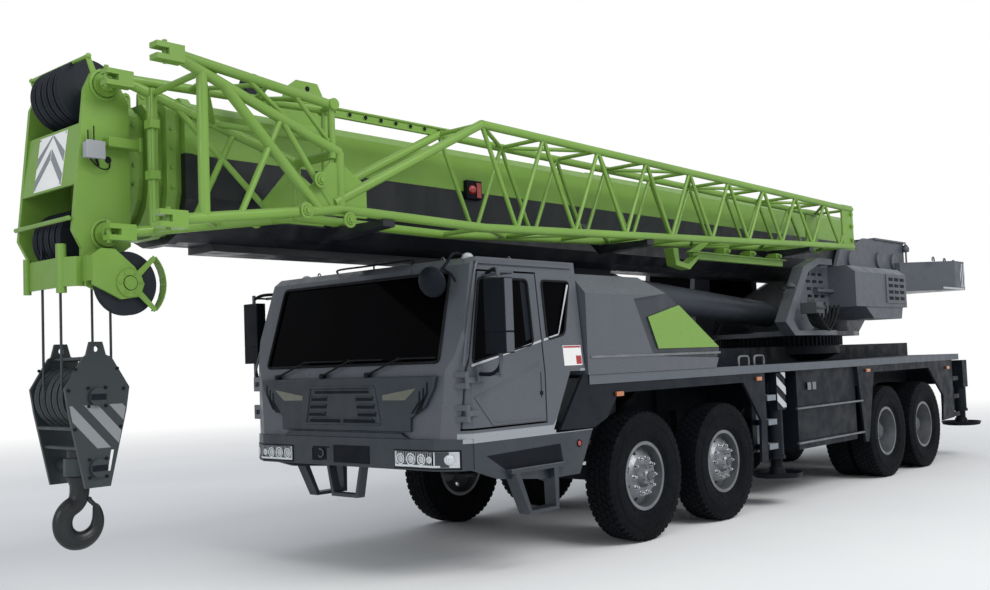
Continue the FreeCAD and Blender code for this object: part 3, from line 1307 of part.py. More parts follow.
# Front bumper with lamps, towing recess and steps
def front_bumper():
    wall = d.bumper_wall
    outer = d.cab_half_width
    shell = prism("bumper_strip", "XY", [
        (d.bumper_front_x, -d.bumper_half_flat), (d.bumper_front_x, d.bumper_half_flat),
        (d.bumper_corner_x, d.bumper_corner_y), (d.bumper_corner_x - 110, outer),
        (d.bumper_rear_x, outer), (d.bumper_rear_x, outer - wall),
        (d.bumper_corner_x - 130, outer - wall),
        (d.bumper_corner_x - wall, d.bumper_corner_y - wall),
        (d.bumper_front_x - wall, d.bumper_half_flat - wall / 2),
        (d.bumper_front_x - wall, wall / 2 - d.bumper_half_flat),
        (d.bumper_corner_x - wall, wall - d.bumper_corner_y),
        (d.bumper_corner_x - 130, wall - outer), (d.bumper_rear_x, wall - outer),
        (d.bumper_rear_x, -outer), (d.bumper_corner_x - 110, -outer),
        (d.bumper_corner_x, -d.bumper_corner_y),
    ], (d.bumper_low_z, d.cab_bottom_z - d.fit_gap))
    pieces = [shell]
    pieces.append(box("number_plate", (d.bumper_front_x - 5, d.bumper_front_x + 6),
                      (0 - 190, d.plate_half_width * 2 - 190), (d.lamp_low_z + 5, d.lamp_high_z)))
    for side, sign in (("left", 1), ("right", -1)):
        across = ordered(sign * 300, sign * 380)
        pieces.append(box("bumper_stay_" + side, (d.rail_front_x, d.bumper_front_x - wall + 1),
                          across, (d.rail_bottom_z + 40, d.rail_top_z - 40)))
        lamp = prism("lamp_" + side, "XY", [
            (d.bumper_front_x + d.lamp_proud, sign * d.lamp_inner_y),
            (d.bumper_front_x + d.lamp_proud, sign * d.bumper_half_flat),
            (d.bumper_corner_x + 62, sign * d.lamp_outer_y),
            (d.bumper_corner_x, sign * (d.lamp_outer_y - 30)),
            (d.bumper_front_x - 30, sign * (d.bumper_half_flat - 20)),
            (d.bumper_front_x - 30, sign * d.lamp_inner_y),
        ], (d.lamp_low_z, d.lamp_high_z))
        pieces.append(lamp)
        skirt_span = ordered(sign * (outer - wall), sign * outer)
        pieces.append(prism("door_skirt_" + side, "XZ", [
            (d.side_skirt_front_x, d.cab_bottom_z - d.fit_gap),
            (d.side_skirt_front_x, d.bumper_low_z),
            (d.tread_front_x + 60, d.side_skirt_low_z + 60),
            (d.tread_rear_x + 200, d.side_skirt_low_z),
            (d.side_skirt_rear_low_x, d.side_skirt_low_z),
            (d.side_skirt_rear_x, d.fender_low_z - 20),
            (d.fender_low_x + 60, d.fender_low_z - 20),
            (d.fender_low_x + 60, d.cab_bottom_z - d.fit_gap),
        ], skirt_span))
        tread_span = ordered(sign * (outer - 150), sign * (outer + d.tread_out))
        pieces.append(box("tread_" + side, (d.tread_rear_x, d.tread_front_x), tread_span,
                          (d.tread_z - 30, d.tread_z)))
        step_span = ordered(sign * (outer - 60), sign * (outer + d.tread_out))
        pieces.append(box("low_tread_" + side, (d.low_step_rear_x, d.low_step_front_x), step_span,
                          (d.low_step_z - 30, d.low_step_z)))
        # Columns: lower end, upper end of a hanging arm.
        arms = ((d.low_step_rear_x, d.low_step_rear_x - 10),
                (d.low_step_front_x - 40, d.low_step_front_x + 110))
        for k, (low_x, high_x) in enumerate(arms):
            pieces.append(prism("step_arm_%s_%d" % (side, k), "XZ", [
                (low_x, d.low_step_z - 30), (low_x + 40, d.low_step_z - 30),
                (high_x + 60, d.tread_z - 29), (high_x, d.tread_z - 29),
            ], step_span))
    bar = d.step_bar
    half = d.front_step_half_width
    depth = (d.bumper_front_x - wall - 40, d.bumper_front_x - 20)
    pieces.append(prism("front_step", "YZ", [
        (-half, d.front_step_low_z), (half, d.front_step_low_z), (half + 60, d.bumper_low_z + 1),
        (half + 60 - bar, d.bumper_low_z + 1), (half - bar, d.front_step_low_z + bar),
        (bar - half, d.front_step_low_z + bar), (bar - half - 60, d.bumper_low_z + 1),
        (-half - 60, d.bumper_low_z + 1),
    ], depth))
    recess = box("tow_recess", (d.bumper_front_x - 40, d.bumper_front_x + 5),
                 (d.tow_y - d.tow_half_width, d.tow_y + d.tow_half_width),
                 (d.lamp_low_z + 10, d.lamp_high_z - 5))
    return cut("bumper", fuse("bumper_solid", *pieces), recess)


sub_part("front_bumper", front_bumper())


# Engine and its cover
def hood_solid(name, inset, foot):
    side = prism(name + "_side", "XZ", [
        (d.hood_front_x - inset, foot),
        (d.hood_front_x - inset, d.hood_top_z - inset),
        (d.hood_slope_x + inset / 2, d.hood_top_z - inset),
        (d.hood_rear_x + inset, d.hood_rear_z),
        (d.hood_heel_x + inset, foot),
    ], (-d.hood_half_width, d.hood_half_width))
    front = prism(name + "_front", "YZ", [
        (inset - d.hood_half_width, foot - 1),
        (d.hood_half_width - inset, foot - 1),
        (d.hood_half_width - inset, d.hood_shoulder_z),
        (d.hood_top_half_width - inset, d.hood_top_z),
        (inset - d.hood_top_half_width, d.hood_top_z),
        (inset - d.hood_half_width, d.hood_shoulder_z),
    ], (d.hood_rear_x - 1, d.hood_front_x + 1))
    return common(name, side, front)


RECESS = [(2310, 2290), (1330, 2400), (620, 1930), (690, 1700), (2010, 1745)]
GREEN_PANEL = [(2070, 2120), (1390, 2270), (700, 2010), (770, 1815), (1910, 1815)]


def engine_hood():
    outer = d.hood_half_width
    shell = cut("hood_shell", hood_solid("hood_outer", 0, d.deck_top_z),
                hood_solid("hood_inner", d.hood_wall, d.deck_top_z - 1))
    recesses = []
    panels = []
    for side, sign in (("left", 1), ("right", -1)):
        recesses.append(prism("hood_recess_" + side, "XZ", RECESS,
                              ordered(sign * (outer - d.recess_depth), sign * (outer + 1))))
        panels.append(prism("hood_panel_" + side, "XZ", GREEN_PANEL,
                            ordered(sign * (outer - d.recess_depth - 1), sign * (outer - 6))))
    recessed = cut("hood_recessed", shell, *recesses)
    trimmed = common("hood_panels", fuse("hood_panel_pair", *panels),
                     document.getObject("hood_outer"))
    return fuse("hood", recessed, trimmed)


sub_part("engine_hood", engine_hood())
sub_part("engine_block", prism("engine", "YZ", [
    (d.fit_gap + d.rail_half_width - d.rail_y, d.engine_bottom_z),
    (d.rail_y - d.rail_half_width - d.fit_gap, d.engine_bottom_z),
    (d.rail_y - d.rail_half_width - d.fit_gap, d.engine_top_z - 200),
    (d.rail_y - d.rail_half_width - 120, d.engine_top_z),
    (120 + d.rail_half_width - d.rail_y, d.engine_top_z),
    (d.fit_gap + d.rail_half_width - d.rail_y, d.engine_top_z - 200),
], (d.engine_rear_x, d.engine_front_x)))


# Turntable
PLATE_LOW_Z = d.spine_top_z + d.ring_height + d.move_gap
PLATE_TOP_Z = PLATE_LOW_Z + d.base_plate
CHEEK_OUTER_Y = d.cheek_inner_y + d.cheek_wall


def turntable():
    inner = d.cheek_inner_y
    outer = CHEEK_OUTER_Y
    half = d.base_half_width
    pivot = (d.boom_pivot_x, d.boom_pivot_z)
    pieces = [
        cylinder("race", "Z", (d.slew_x, 0), (d.spine_top_z + d.move_gap, PLATE_LOW_Z + 1),
                 d.race_radius),
        prism("base_plate_solid", "XY", [
            (d.base_front_x, -outer), (d.base_front_x, outer), (d.base_shoulder_x, half),
            (d.base_back_x, half), (d.base_rear_x, outer), (d.base_rear_x, -outer),
            (d.base_back_x, -half), (d.base_shoulder_x, -half),
        ], (PLATE_LOW_Z, PLATE_TOP_Z)),
    ]
    for side, sign in (("left", 1), ("right", -1)):
        span = ordered(sign * inner, sign * outer)
        pieces.append(prism("cheek_" + side, "XZ", [
            (d.base_front_x - 60, PLATE_TOP_Z - 1),
            (d.barrel_pivot_x + 240, d.barrel_pivot_z + 120),
            (d.barrel_pivot_x - 60, d.barrel_pivot_z + 230),
            (d.boom_pivot_x + 620, d.boom_pivot_z - 230),
            (d.boom_pivot_x + 300, d.boom_pivot_z + 250),
            (d.boom_pivot_x - 280, d.boom_pivot_z + 260),
            (d.boom_pivot_x - 520, d.winch_top_z),
            (d.winch_rear_x, d.winch_top_z),
            (d.winch_rear_x, d.winch_floor_z - 60),
            (d.boom_pivot_x - 900, d.winch_floor_z - 260),
            (d.base_rear_x, PLATE_TOP_Z - 1),
        ], span))
        pieces.append(cylinder("pin_boss_" + side, "Y", pivot,
                               ordered(sign * (outer - 1), sign * (outer + 40)), 150))
        for k, winch_x in enumerate((d.winch_1_x, d.winch_2_x)):
            pieces.append(cylinder("winch_drive_%s_%d" % (side, k), "Y", (winch_x, d.winch_z),
                                   ordered(sign * (outer - 1),
                                           sign * (outer + d.winch_motor_reach)),
                                   d.winch_motor_radius))
    pieces.append(cylinder("boom_pin", "Y", pivot, (-outer, outer), d.boom_pin_radius))
    pieces.append(cylinder("barrel_pin", "Y", (d.barrel_pivot_x, d.barrel_pivot_z),
                           (-outer, outer), d.barrel_pin_radius))
    pieces.append(box("winch_floor", (d.winch_rear_x, d.boom_pivot_x - 750), (-outer, outer),
                      (d.winch_floor_z - 30, d.winch_floor_z)))
    pieces.append(box("winch_roof", (d.winch_rear_x - 40, d.winch_1_x + 150),
                      (-outer - 30, outer + 30), (d.winch_top_z, d.winch_top_z + d.roof_plate)))
    pieces.append(box("rear_cross_plate", (d.winch_rear_x, d.winch_rear_x + 30), (-outer, outer),
                      (d.winch_floor_z - 60, d.weight_high_z - 100)))
    pieces.append(box("foot_cross_plate", (d.base_rear_x, d.base_rear_x + 30), (-outer, outer),
                      (PLATE_TOP_Z - 1, d.winch_floor_z - 500)))
    pieces.append(box("op_bracket", (d.op_bracket_rear_x, d.op_bracket_front_x),
                      (d.op_bracket_outer_y, -outer + 1), (PLATE_LOW_Z, PLATE_TOP_Z)))
    pieces += left_cabinet()
    return fuse("turntable_solid", *pieces)


def left_cabinet():
    """The cabinet, guard arm and vented panel on the turntable's left side."""
    outer = d.cabinet_outer_y
    inner = CHEEK_OUTER_Y
    body = prism("cabinet_body", "YZ", [
        (inner - 1, d.cabinet_low_z), (outer, d.cabinet_low_z), (outer, d.cabinet_high_z - 90),
        (outer - 110, d.cabinet_high_z), (inner - 1, d.cabinet_high_z),
    ], (d.cabinet_rear_x, d.cabinet_front_x - 480))
    chute = prism("cabinet_chute", "XZ", [
        (d.hopper_front_x, d.cabinet_low_z + 1), (d.hopper_rear_x, d.cabinet_low_z + 1),
        (d.hopper_rear_x + 60, d.hopper_low_z), (d.hopper_front_x - 260, d.hopper_low_z),
    ], (d.arm_y - 200, outer - 20))
    slots = []
    for row in range(4):
        for column in range(3):
            low_x = d.cabinet_rear_x + 90 + column * 210
            low_z = d.cabinet_low_z + 95 + row * 88
            slots.append(box("vent_%d_%d" % (row, column), (low_x, low_x + 160),
                             (outer - 60, outer + 5), (low_z, low_z + 42)))
    grille_frame = box("grille_frame", (d.cabinet_rear_x + 50, d.cabinet_rear_x + 740),
                       (outer - 1, outer + 14), (d.cabinet_low_z + 55, d.cabinet_low_z + 450))
    vented = cut("vented_cabinet", fuse("cabinet_set", body, chute, grille_frame), *slots)
    arm_span = (d.arm_y - d.arm_half_width, d.arm_y + d.arm_half_width)
    arm = prism("guard_arm", "XZ", [
        (-1640, float(PLATE_TOP_Z) - 60), (-1400, 2100), (-1960, 2800), (-2380, 2930),
        (-2800, 2930), (-2800, 2850), (-2400, 2850), (-2090, 2740), (-1600, 2130),
        (-1800, float(PLATE_TOP_Z) - 60),
    ], arm_span)
    arm_foot = box("guard_arm_foot", (d.base_shoulder_x - 200, -1640),
                   (inner - 1, d.arm_y + d.arm_half_width),
                   (PLATE_TOP_Z - d.base_plate, PLATE_TOP_Z))
    panel = prism("vented_panel_blank", "XZ", [
        (-2080, 2745), (-2400, 2880), (-2990, 2880), (-2990, 2260), (-2420, float(PLATE_TOP_Z)),
        (-1900, float(PLATE_TOP_Z)), (-1700, 2270),
    ], (d.arm_y - d.arm_half_width - 30, d.arm_y - d.arm_half_width + 1))
    holes = []
    for row in range(5):
        for column in range(3):
            low_x = -2880 + column * 190 + row * 20
            low_z = 2330 + row * 96
            holes.append(box("panel_slot_%d_%d" % (row, column), (low_x, low_x + 130),
                             (d.arm_y - d.arm_half_width - 40, d.arm_y - d.arm_half_width + 10),
                             (low_z, low_z + 40)))
    panel_cut = cut("vented_panel", panel, *holes)
    deck = box("cabinet_shelf", (-2990, -2500), (inner - 1, d.arm_y), (2500, 2540))
    gearbox = lathe("slew_gearbox", "Z", [
        (0, 0), (0, d.gearbox_radius + 25), (60, d.gearbox_radius + 25), (60, d.gearbox_radius),
        (300, d.gearbox_radius), (340, d.gearbox_radius - 40),
        (d.gearbox_top_z - PLATE_TOP_Z, d.gearbox_radius - 40), (d.gearbox_top_z - PLATE_TOP_Z, 0),
    ], (d.gearbox_x, d.gearbox_y, PLATE_TOP_Z - 1))
    return [vented, arm, arm_foot, panel_cut, deck, gearbox]


sub_part("turntable", turntable())


# Winch drums
def winch_drum(name, x):
    """A drum with its flanges and the wound rope as one body."""
    inner = d.cheek_inner_y - d.fit_gap
    flange = 26
    profile = [
        (-inner, 0), (-inner, d.winch_motor_radius - 30), (-inner + 30, d.winch_motor_radius - 30),
        (-inner + 30, d.winch_flange_radius), (-inner + 30 + flange, d.winch_flange_radius),
        (-inner + 30 + flange, d.winch_rope_radius), (inner - 30 - flange, d.winch_rope_radius),
        (inner - 30 - flange, d.winch_flange_radius), (inner - 30, d.winch_flange_radius),
        (inner - 30, d.winch_motor_radius - 30), (inner, d.winch_motor_radius - 30), (inner, 0),
    ]
    return lathe(name, "Y", profile, (x, 0, d.winch_z))


sub_part("winch_drums", group("drum_pair", winch_drum("front_drum", d.winch_1_x),
                              winch_drum("rear_drum", d.winch_2_x)))


# Counterweight
def counterweight():
    inner = CHEEK_OUTER_Y + d.fit_gap
    slab = prism("weight_slab", "XY", [
        (d.weight_front_x, -d.weight_front_half), (d.weight_front_x, d.weight_front_half),
        (d.weight_shoulder_x, d.weight_half_width), (d.tail_x, d.weight_half_width),
        (d.tail_x, -d.weight_half_width), (d.weight_shoulder_x, -d.weight_half_width),
    ], (d.weight_low_z, d.weight_high_z))
    slot = box("weight_slot", (d.winch_rear_x - d.fit_gap, d.weight_front_x + 1),
               (-inner, inner), (d.weight_low_z - 1, d.weight_high_z + 1))
    side = CHEEK_OUTER_Y + d.winch_motor_reach + d.move_gap
    pocket = box("drive_pocket", (d.winch_2_x - d.winch_motor_radius - d.move_gap,
                                  d.weight_front_x + 1),
                 (-side, side), (d.winch_z - d.winch_motor_radius - d.move_gap, d.weight_high_z + 1))
    return cut("weight", slab, slot, pocket)


sub_part("counterweight", counterweight())


# Operator's cab
def op_solid(name, inset):
    return prism(name, "XZ", [
        (d.op_front_x - inset, PLATE_TOP_Z + inset),
        (d.op_front_x - inset, d.op_sill_z + 200),
        (d.op_front_top_x - inset, d.op_high_z - inset),
        (d.op_rear_x + inset, d.op_high_z - inset),
        (d.op_rear_x + inset, PLATE_TOP_Z + inset),
    ], (d.op_outer_y + inset, d.op_inner_y - inset))


def side_light(inset_front, inset_rear):
    """A side window between two places along the operator's cab."""
    return [
        (inset_front, d.op_sill_z), (inset_front, d.op_high_z - 2 * d.op_pillar),
        (inset_rear, d.op_high_z - 2 * d.op_pillar), (inset_rear, d.op_sill_z),
    ]


op_outer = op_solid("op_outer", 0)
op_walls = cut("op_walls", op_outer, op_solid("op_inner", d.op_wall))
op_layer = cut("op_layer", op_solid("op_pane_outer", d.glass_inset),
               op_solid("op_pane_inner", d.glass_inset + d.glass_wall))
OP_BACK = side_light(d.op_door_rear_x - d.op_pillar, d.op_rear_x + 2 * d.op_pillar)
OP_LEFT = side_light(d.op_door_front_x - d.op_pillar, d.op_rear_x + 2 * d.op_pillar)
OP_FRONT = [
    (d.op_outer_y + d.op_pillar, PLATE_TOP_Z + 2 * d.op_pillar),
    (d.op_inner_y - d.op_pillar, PLATE_TOP_Z + 2 * d.op_pillar),
    (d.op_inner_y - d.op_pillar, d.op_high_z - 2 * d.op_pillar),
    (d.op_outer_y + d.op_pillar, d.op_high_z - 2 * d.op_pillar),
]
OP_FRONT_SPAN = (d.op_front_top_x - d.op_wall - 15, d.op_front_x + 1)
OP_RIGHT_SPAN = (d.op_outer_y - 1, d.op_outer_y + d.op_wall + 1)
OP_LEFT_SPAN = (d.op_inner_y - d.op_wall - 1, d.op_inner_y + 1)
op_doorway = prism("op_doorway", "XZ", [
    (d.op_door_front_x, PLATE_TOP_Z + d.op_pillar), (d.op_door_front_x, d.op_high_z - 2 * d.op_pillar),
    (d.op_door_rear_x, d.op_high_z - 2 * d.op_pillar), (d.op_door_rear_x, PLATE_TOP_Z + d.op_pillar),
], OP_RIGHT_SPAN)
op_body = cut("op_body", op_walls, op_doorway,
              prism("op_front_opening", "YZ", OP_FRONT, OP_FRONT_SPAN),
              prism("op_back_opening", "XZ", OP_BACK, OP_RIGHT_SPAN),
              prism("op_left_opening", "XZ", OP_LEFT, OP_LEFT_SPAN))
OP_SEAT_X = d.op_rear_x + d.op_wall + 260
OP_FLOOR = PLATE_TOP_Z + d.op_wall
op_seat = prism("op_seat", "XZ", [
    (OP_SEAT_X + 60, OP_FLOOR - 1), (OP_SEAT_X + 440, OP_FLOOR - 1), (OP_SEAT_X + 440, OP_FLOOR + 330),
    (OP_SEAT_X + 530, OP_FLOOR + 330), (OP_SEAT_X + 530, OP_FLOOR + 440),
    (OP_SEAT_X + 130, OP_FLOOR + 450), (OP_SEAT_X + 30, OP_FLOOR + 1090),
    (OP_SEAT_X - 60, OP_FLOOR + 1080), (OP_SEAT_X, OP_FLOOR + 330), (OP_SEAT_X + 60, OP_FLOOR + 330),
], (d.op_outer_y + 170, d.op_inner_y - 170))
# Columns: name, underside of a door rail.
OP_RAILS = (("low", PLATE_TOP_Z + d.op_pillar - 60),
            ("top", d.op_high_z - 2 * d.op_pillar - 10))
op_rails = [box("door_rail_" + name, (d.op_door_rear_x - 700, d.op_door_front_x + 40),
                (d.op_outer_y - d.move_gap, d.op_outer_y + 1), (low, low + d.op_rail_height))
            for name, low in OP_RAILS]
sub_part("operator_cab", fuse("op_cab_set", op_body, op_seat, *op_rails))
sub_part("operator_glass", group(
    "op_glass_set",
    common("op_front_glass", op_layer, prism("op_front_pane", "YZ", OP_FRONT, OP_FRONT_SPAN)),
    common("op_back_glass", op_layer, prism("op_back_pane", "XZ", OP_BACK, OP_RIGHT_SPAN)),
    common("op_left_glass", op_layer, prism("op_left_pane", "XZ", OP_LEFT, OP_LEFT_SPAN)),
))
DOOR_FACE_Y = d.op_outer_y - d.move_gap - d.fit_gap
op_door_blank = box("op_door_blank", (d.op_door_rear_x - 40, d.op_door_front_x + 40),
                    (DOOR_FACE_Y - d.op_door_wall, DOOR_FACE_Y),
                    (PLATE_TOP_Z + d.op_pillar - 40, d.op_high_z - 2 * d.op_pillar + 40))
op_door_light = box("op_door_light", (d.op_door_rear_x + 50, d.op_door_front_x - 50),
                    (DOOR_FACE_Y - d.op_door_wall - 1, DOOR_FACE_Y - 8),
                    (d.op_sill_z, d.op_high_z - 2 * d.op_pillar - 40))
sub_part("operator_door", cut("op_door", op_door_blank, op_door_light))


# Lift cylinder, along the line from its foot pin to the rod's eye
def cylinder_frame():
    foot = Vector(float(d.barrel_pivot_x), 0, float(d.barrel_pivot_z))
    eye = Vector(float(d.rod_eye_x), 0, float(d.rod_eye_z))
    run = eye - foot
    return foot, eye, run.Length, run * (1 / run.Length)


def eye_ring(centre, bore):
    half = float(d.eye_half_width)
    across = Vector(0, 1, 0)
    start = centre - across * half
    ring = Part.makeCylinder(float(d.eye_radius), 2 * half, start, across)
    return ring, Part.makeCylinder(float(bore), 2 * half + 2, start - across, across)


def lift_barrel():
    foot, eye, length, along = cylinder_frame()
    start = foot + along * 60
    tube = Part.makeCylinder(float(d.barrel_radius), float(d.barrel_length) - 60, start, along)
    collar = Part.makeCylinder(float(d.barrel_radius) + 18, 110,
                               foot + along * (float(d.barrel_length) - 110), along)
    inside = Part.makeCylinder(float(d.rod_radius + d.fit_gap), float(d.barrel_length),
                               foot + along * (float(d.rod_inner_gap) - 30), along)
    ring, bore = eye_ring(foot, float(d.barrel_pin_radius + d.bearing_gap))
    return tube.fuse([collar, ring]).cut(inside).cut(bore)


def lift_rod():
    foot, eye, length, along = cylinder_frame()
    start = foot + along * float(d.rod_inner_gap)
    rod = Part.makeCylinder(float(d.rod_radius), length - float(d.rod_inner_gap) - 60, start, along)
    ring, bore = eye_ring(eye, float(d.barrel_pin_radius + d.bearing_gap))
    return rod.fuse(ring).cut(bore)


sub_part("lift_barrel", computed("barrel", lift_barrel()))
sub_part("lift_rod", computed("rod", lift_rod()))


# Boom sections
def section_outline(step, inset):
    """The boom's cross-section, some steps and an inset inside the base section."""
    shift = step * d.boom_step + inset
    half = d.boom_half_width - shift
    top = d.boom_top_z - shift
    low = d.boom_low_z + shift
    bevel = d.boom_bevel
    right = [
        (half - bevel, top),
        (half, top - bevel),
        (half, low + d.boom_round),
        (half * 0.9, low + d.boom_round * 0.52),
        (half * 0.68, low + d.boom_round * 0.18),
        (half * 0.38, low),
    ]
    left = [(-y, z) for y, z in reversed(right)]
    return right + left


def section_tube(name, step, rear_x, front_x):
    """A hollow section with the collar that guides the next one."""
    shell = prism(name + "_outer", "YZ", section_outline(step, 0), (rear_x, front_x))
    ring = prism(name + "_collar", "YZ", section_outline(step, -d.collar_proud),
                 (front_x - d.collar_length, front_x))
    bore = prism(name + "_bore", "YZ", section_outline(step, d.boom_wall),
                 (rear_x - 1, front_x - d.collar_length))
    mouth = prism(name + "_mouth", "YZ", section_outline(step + 1, -d.fit_gap),
                  (front_x - d.collar_length - 1, front_x + 1))
    return cut(name, fuse(name + "_solid", shell, ring), bore, mouth)


def boom_base():
    tube = section_tube("base_tube", 0, d.boom_tail_x, d.boom_front_x)
    pivot = (d.boom_pivot_x, d.boom_pivot_z)
    outer = d.cheek_inner_y - d.move_gap
    low = d.boom_low_z
    pieces = [tube, cylinder("foot_tube", "Y", pivot, (-outer, outer), 130)]
    pieces.append(box("boom_tray", (d.tray_rear_x, d.tray_front_x),
                      (-d.tray_half_width, d.tray_half_width), (low - d.tray_height, low + 1)))
    side_low = low + d.boom_round + 20
    half = d.boom_half_width
    # Columns: name, place along the boom, height of the jib's lower chords there.
    front_rise = (d.jib_elbow_low_z - d.jib_peak_low_z) / (d.jib_elbow_x - d.jib_peak_x)
    rear_rise = (d.jib_rear_low_z - d.jib_peak_low_z) / (d.jib_peak_x - d.jib_rear_x)
    bracket_half = 60
    brackets = (
        ("front", d.jib_peak_x + 1100, d.jib_peak_low_z + (1100 - bracket_half) * front_rise),
        ("middle", d.jib_peak_x - 2400, d.jib_peak_low_z + (2400 - bracket_half) * rear_rise),
        ("rear", d.jib_rear_x + 1300, d.jib_rear_low_z - (1300 + bracket_half) * rear_rise),
    )
    for name, bracket_x, chord_z in brackets:
        seat = chord_z - d.jib_chord_radius - d.fit_gap
        pieces.append(prism("jib_bracket_" + name, "YZ", [
            (half - 5, side_low), (half - 5, side_low + 100), (half + 50, side_low + 100),
            (d.jib_inner_y - 110, seat + 40), (d.jib_inner_y - 50, seat), (d.jib_outer_y + 30, seat),
            (d.jib_outer_y + 30, seat - 50), (d.jib_inner_y - 60, seat - 90), (half + 40, side_low),
        ], (bracket_x - bracket_half, bracket_x + bracket_half)))
    bore = cylinder("foot_bore", "Y", pivot, (-outer - 1, outer + 1),
                    d.boom_pin_radius + d.bearing_gap)
    return cut("boom_base_solid", fuse("boom_base_set", *pieces), bore)


def cylinder_bracket():
    """The ears under the boom for the lift cylinder's rod, on one pad."""
    side = d.eye_half_width + d.move_gap
    high = d.boom_low_z - d.fit_gap
    foot = high - d.ear_pad
    pieces = [box("ear_pad", (d.rod_eye_x - d.ear_reach, d.rod_eye_x + d.ear_reach),
                  (-side - d.ear_wall, side + d.ear_wall), (foot, high))]
    for name, sign in (("left", 1), ("right", -1)):
        outside = side + d.ear_wall
        pieces.append(prism("rod_ear_" + name, "XZ", [
            (d.rod_eye_x - d.ear_reach, foot + 1), (d.rod_eye_x - 150, d.rod_eye_z - 110),
            (d.rod_eye_x + 150, d.rod_eye_z - 110), (d.rod_eye_x + d.ear_reach, foot + 1),
        ], ordered(sign * side, sign * outside)))
        pieces.append(cylinder("rod_pin_cap_" + name, "Y", (d.rod_eye_x, d.rod_eye_z),
                               ordered(sign * (outside - 1), sign * (outside + 22)), 80))
    return fuse("cylinder_bracket_set", *pieces)


sub_part("boom_base", boom_base())
sub_part("cylinder_bracket", cylinder_bracket())
# Columns: section number, steps inside the base section.
for number, step in ((2, 1), (3, 2), (4, 3)):
    sub_part("boom_section_%d" % number, section_tube(
        "tube_%d" % number, step, d.section_2_rear_x + (step - 1) * d.section_lag,
        d.boom_front_x + step * d.collar_pitch))


def boom_head():
    step = 4
    half = d.head_half_width
    inner = half - d.head_wall
    tube_outer = prism("head_tube", "YZ", section_outline(step, 0),
                       (d.section_2_rear_x + (step - 1) * d.section_lag, d.head_rear_x + 1))
    tube_bore = prism("head_tube_bore", "YZ", section_outline(step, d.boom_wall),
                      (d.section_2_rear_x, d.head_rear_x))
    pieces = [cut("head_tube_shell", tube_outer, tube_bore)]
    for name, sign in (("left", 1), ("right", -1)):
        pieces.append(prism("head_plate_" + name, "XZ", [
            (d.head_rear_x, d.head_low_z + 60), (d.head_rear_x, d.head_top_z - 130),
            (d.top_sheave_x - 80, d.head_top_z + 60), (d.top_sheave_x + 90, d.head_top_z + 60),
            (d.head_front_top_x, d.head_top_z - 60), (d.head_front_low_x, d.head_low_z + 150),
            (d.head_front_low_x - 80, d.head_low_z),
            (d.low_sheave_x - 100, d.head_low_z),
        ], ordered(sign * inner, sign * half)))
        for level, pin_x, pin_z in (("top", d.top_sheave_x, d.top_sheave_z),
                                    ("low", d.low_sheave_x, d.low_sheave_z)):
            pieces.append(cylinder("%s_hub_%s" % (level, name), "Y", (pin_x, pin_z),
                                   ordered(sign * (half - 1), sign * (half + 35)), 85))
    back = box("head_back_plate", (d.head_rear_x, d.head_rear_x + d.head_front_wall),
               (-inner - 1, inner + 1), (d.low_sheave_z + 265, d.top_sheave_z - 270))
    front = prism("head_front_plate", "XZ", [
        (d.head_front_top_x + 6, d.top_sheave_z - 270), (d.head_front_low_x - 29, d.low_sheave_z + 330),
        (d.head_front_low_x - 29 - d.head_front_wall, d.low_sheave_z + 330),
        (d.head_front_top_x + 6 - d.head_front_wall, d.top_sheave_z - 270),
    ], (-inner - 1, inner + 1))
    pieces += [back, front]
    for level, pin_x, pin_z in (("top", d.top_sheave_x, d.top_sheave_z),
                                ("low", d.low_sheave_x, d.low_sheave_z)):
        pieces.append(cylinder(level + "_sheave_pin", "Y", (pin_x, pin_z), (-half, half),
                               d.sheave_pin_radius))
    pieces += head_guide_arm()
    pieces += aux_bracket()
    return fuse("head_set", *pieces)


def head_guide_arm():
    """The box under the head's front, with the upright guide tube at the nose."""
    tube = 26
    low = d.arm_box_low_z
    high = d.arm_box_high_z
    half = d.head_half_width
    side = prism("guide_side", "XY", [
        (d.head_front_low_x - 130, half - 30), (d.head_front_low_x - 130, half),
        (d.head_front_low_x - 20, half), (d.nose_x - 40, 330), (d.nose_x - 40, 300),
        (d.head_front_low_x - 40, half - 30),
    ], (low, high))
    face = box("guide_face", (d.nose_x - 60, d.nose_x - 30), (-160, 330), (low, high))
    guide_tube = cylinder("guide_tube", "Z", (d.nose_x - tube, -160), (low - 25, high + 25), tube)
    post = cylinder("guide_post", "Z", (d.nose_x - 45, 300), (low - 40, high + 90), 34)
    hanger = box("guide_hanger", (d.head_front_low_x - 130, d.head_front_low_x - 60),
                 (half - d.head_wall, half), (low, d.head_low_z + 30))
    return [side, face, guide_tube, post, hanger]


def aux_bracket():
    """The side plate that carries the auxiliary sheave, with its rope guard."""
    inner = d.aux_sheave_y - d.sheave_width / 2 - d.move_gap
    outer = d.aux_sheave_y + d.sheave_width / 2 + d.move_gap
    x = d.aux_sheave_x
    z = d.aux_sheave_z
    pieces = []
    for name, low_y, high_y in (("inner", inner - 22, inner), ("outer", outer, outer + 22)):
        pieces.append(prism("aux_plate_" + name, "XZ", [
            (d.head_front_low_x - 60, d.arm_box_high_z), (d.head_front_low_x - 60, d.arm_box_low_z),
            (x + 60, z - 110), (x - 80, z - 90), (x - 110, z), (x - 40, z + 110),
            (x + 100, d.head_low_z + 20), (x + 200, d.head_low_z + 20),
        ], (low_y, high_y)))
    pieces.append(cylinder("aux_pin", "Y", (x, z), (inner - 1, outer + 40), 45))
    pieces.append(box("aux_spacer", (d.head_front_low_x - 85, d.head_front_low_x - 61),
                      (d.head_half_width - 1, outer + 1), (d.arm_box_low_z + 30, d.arm_box_high_z)))
    return pieces


sub_part("boom_head", boom_head())


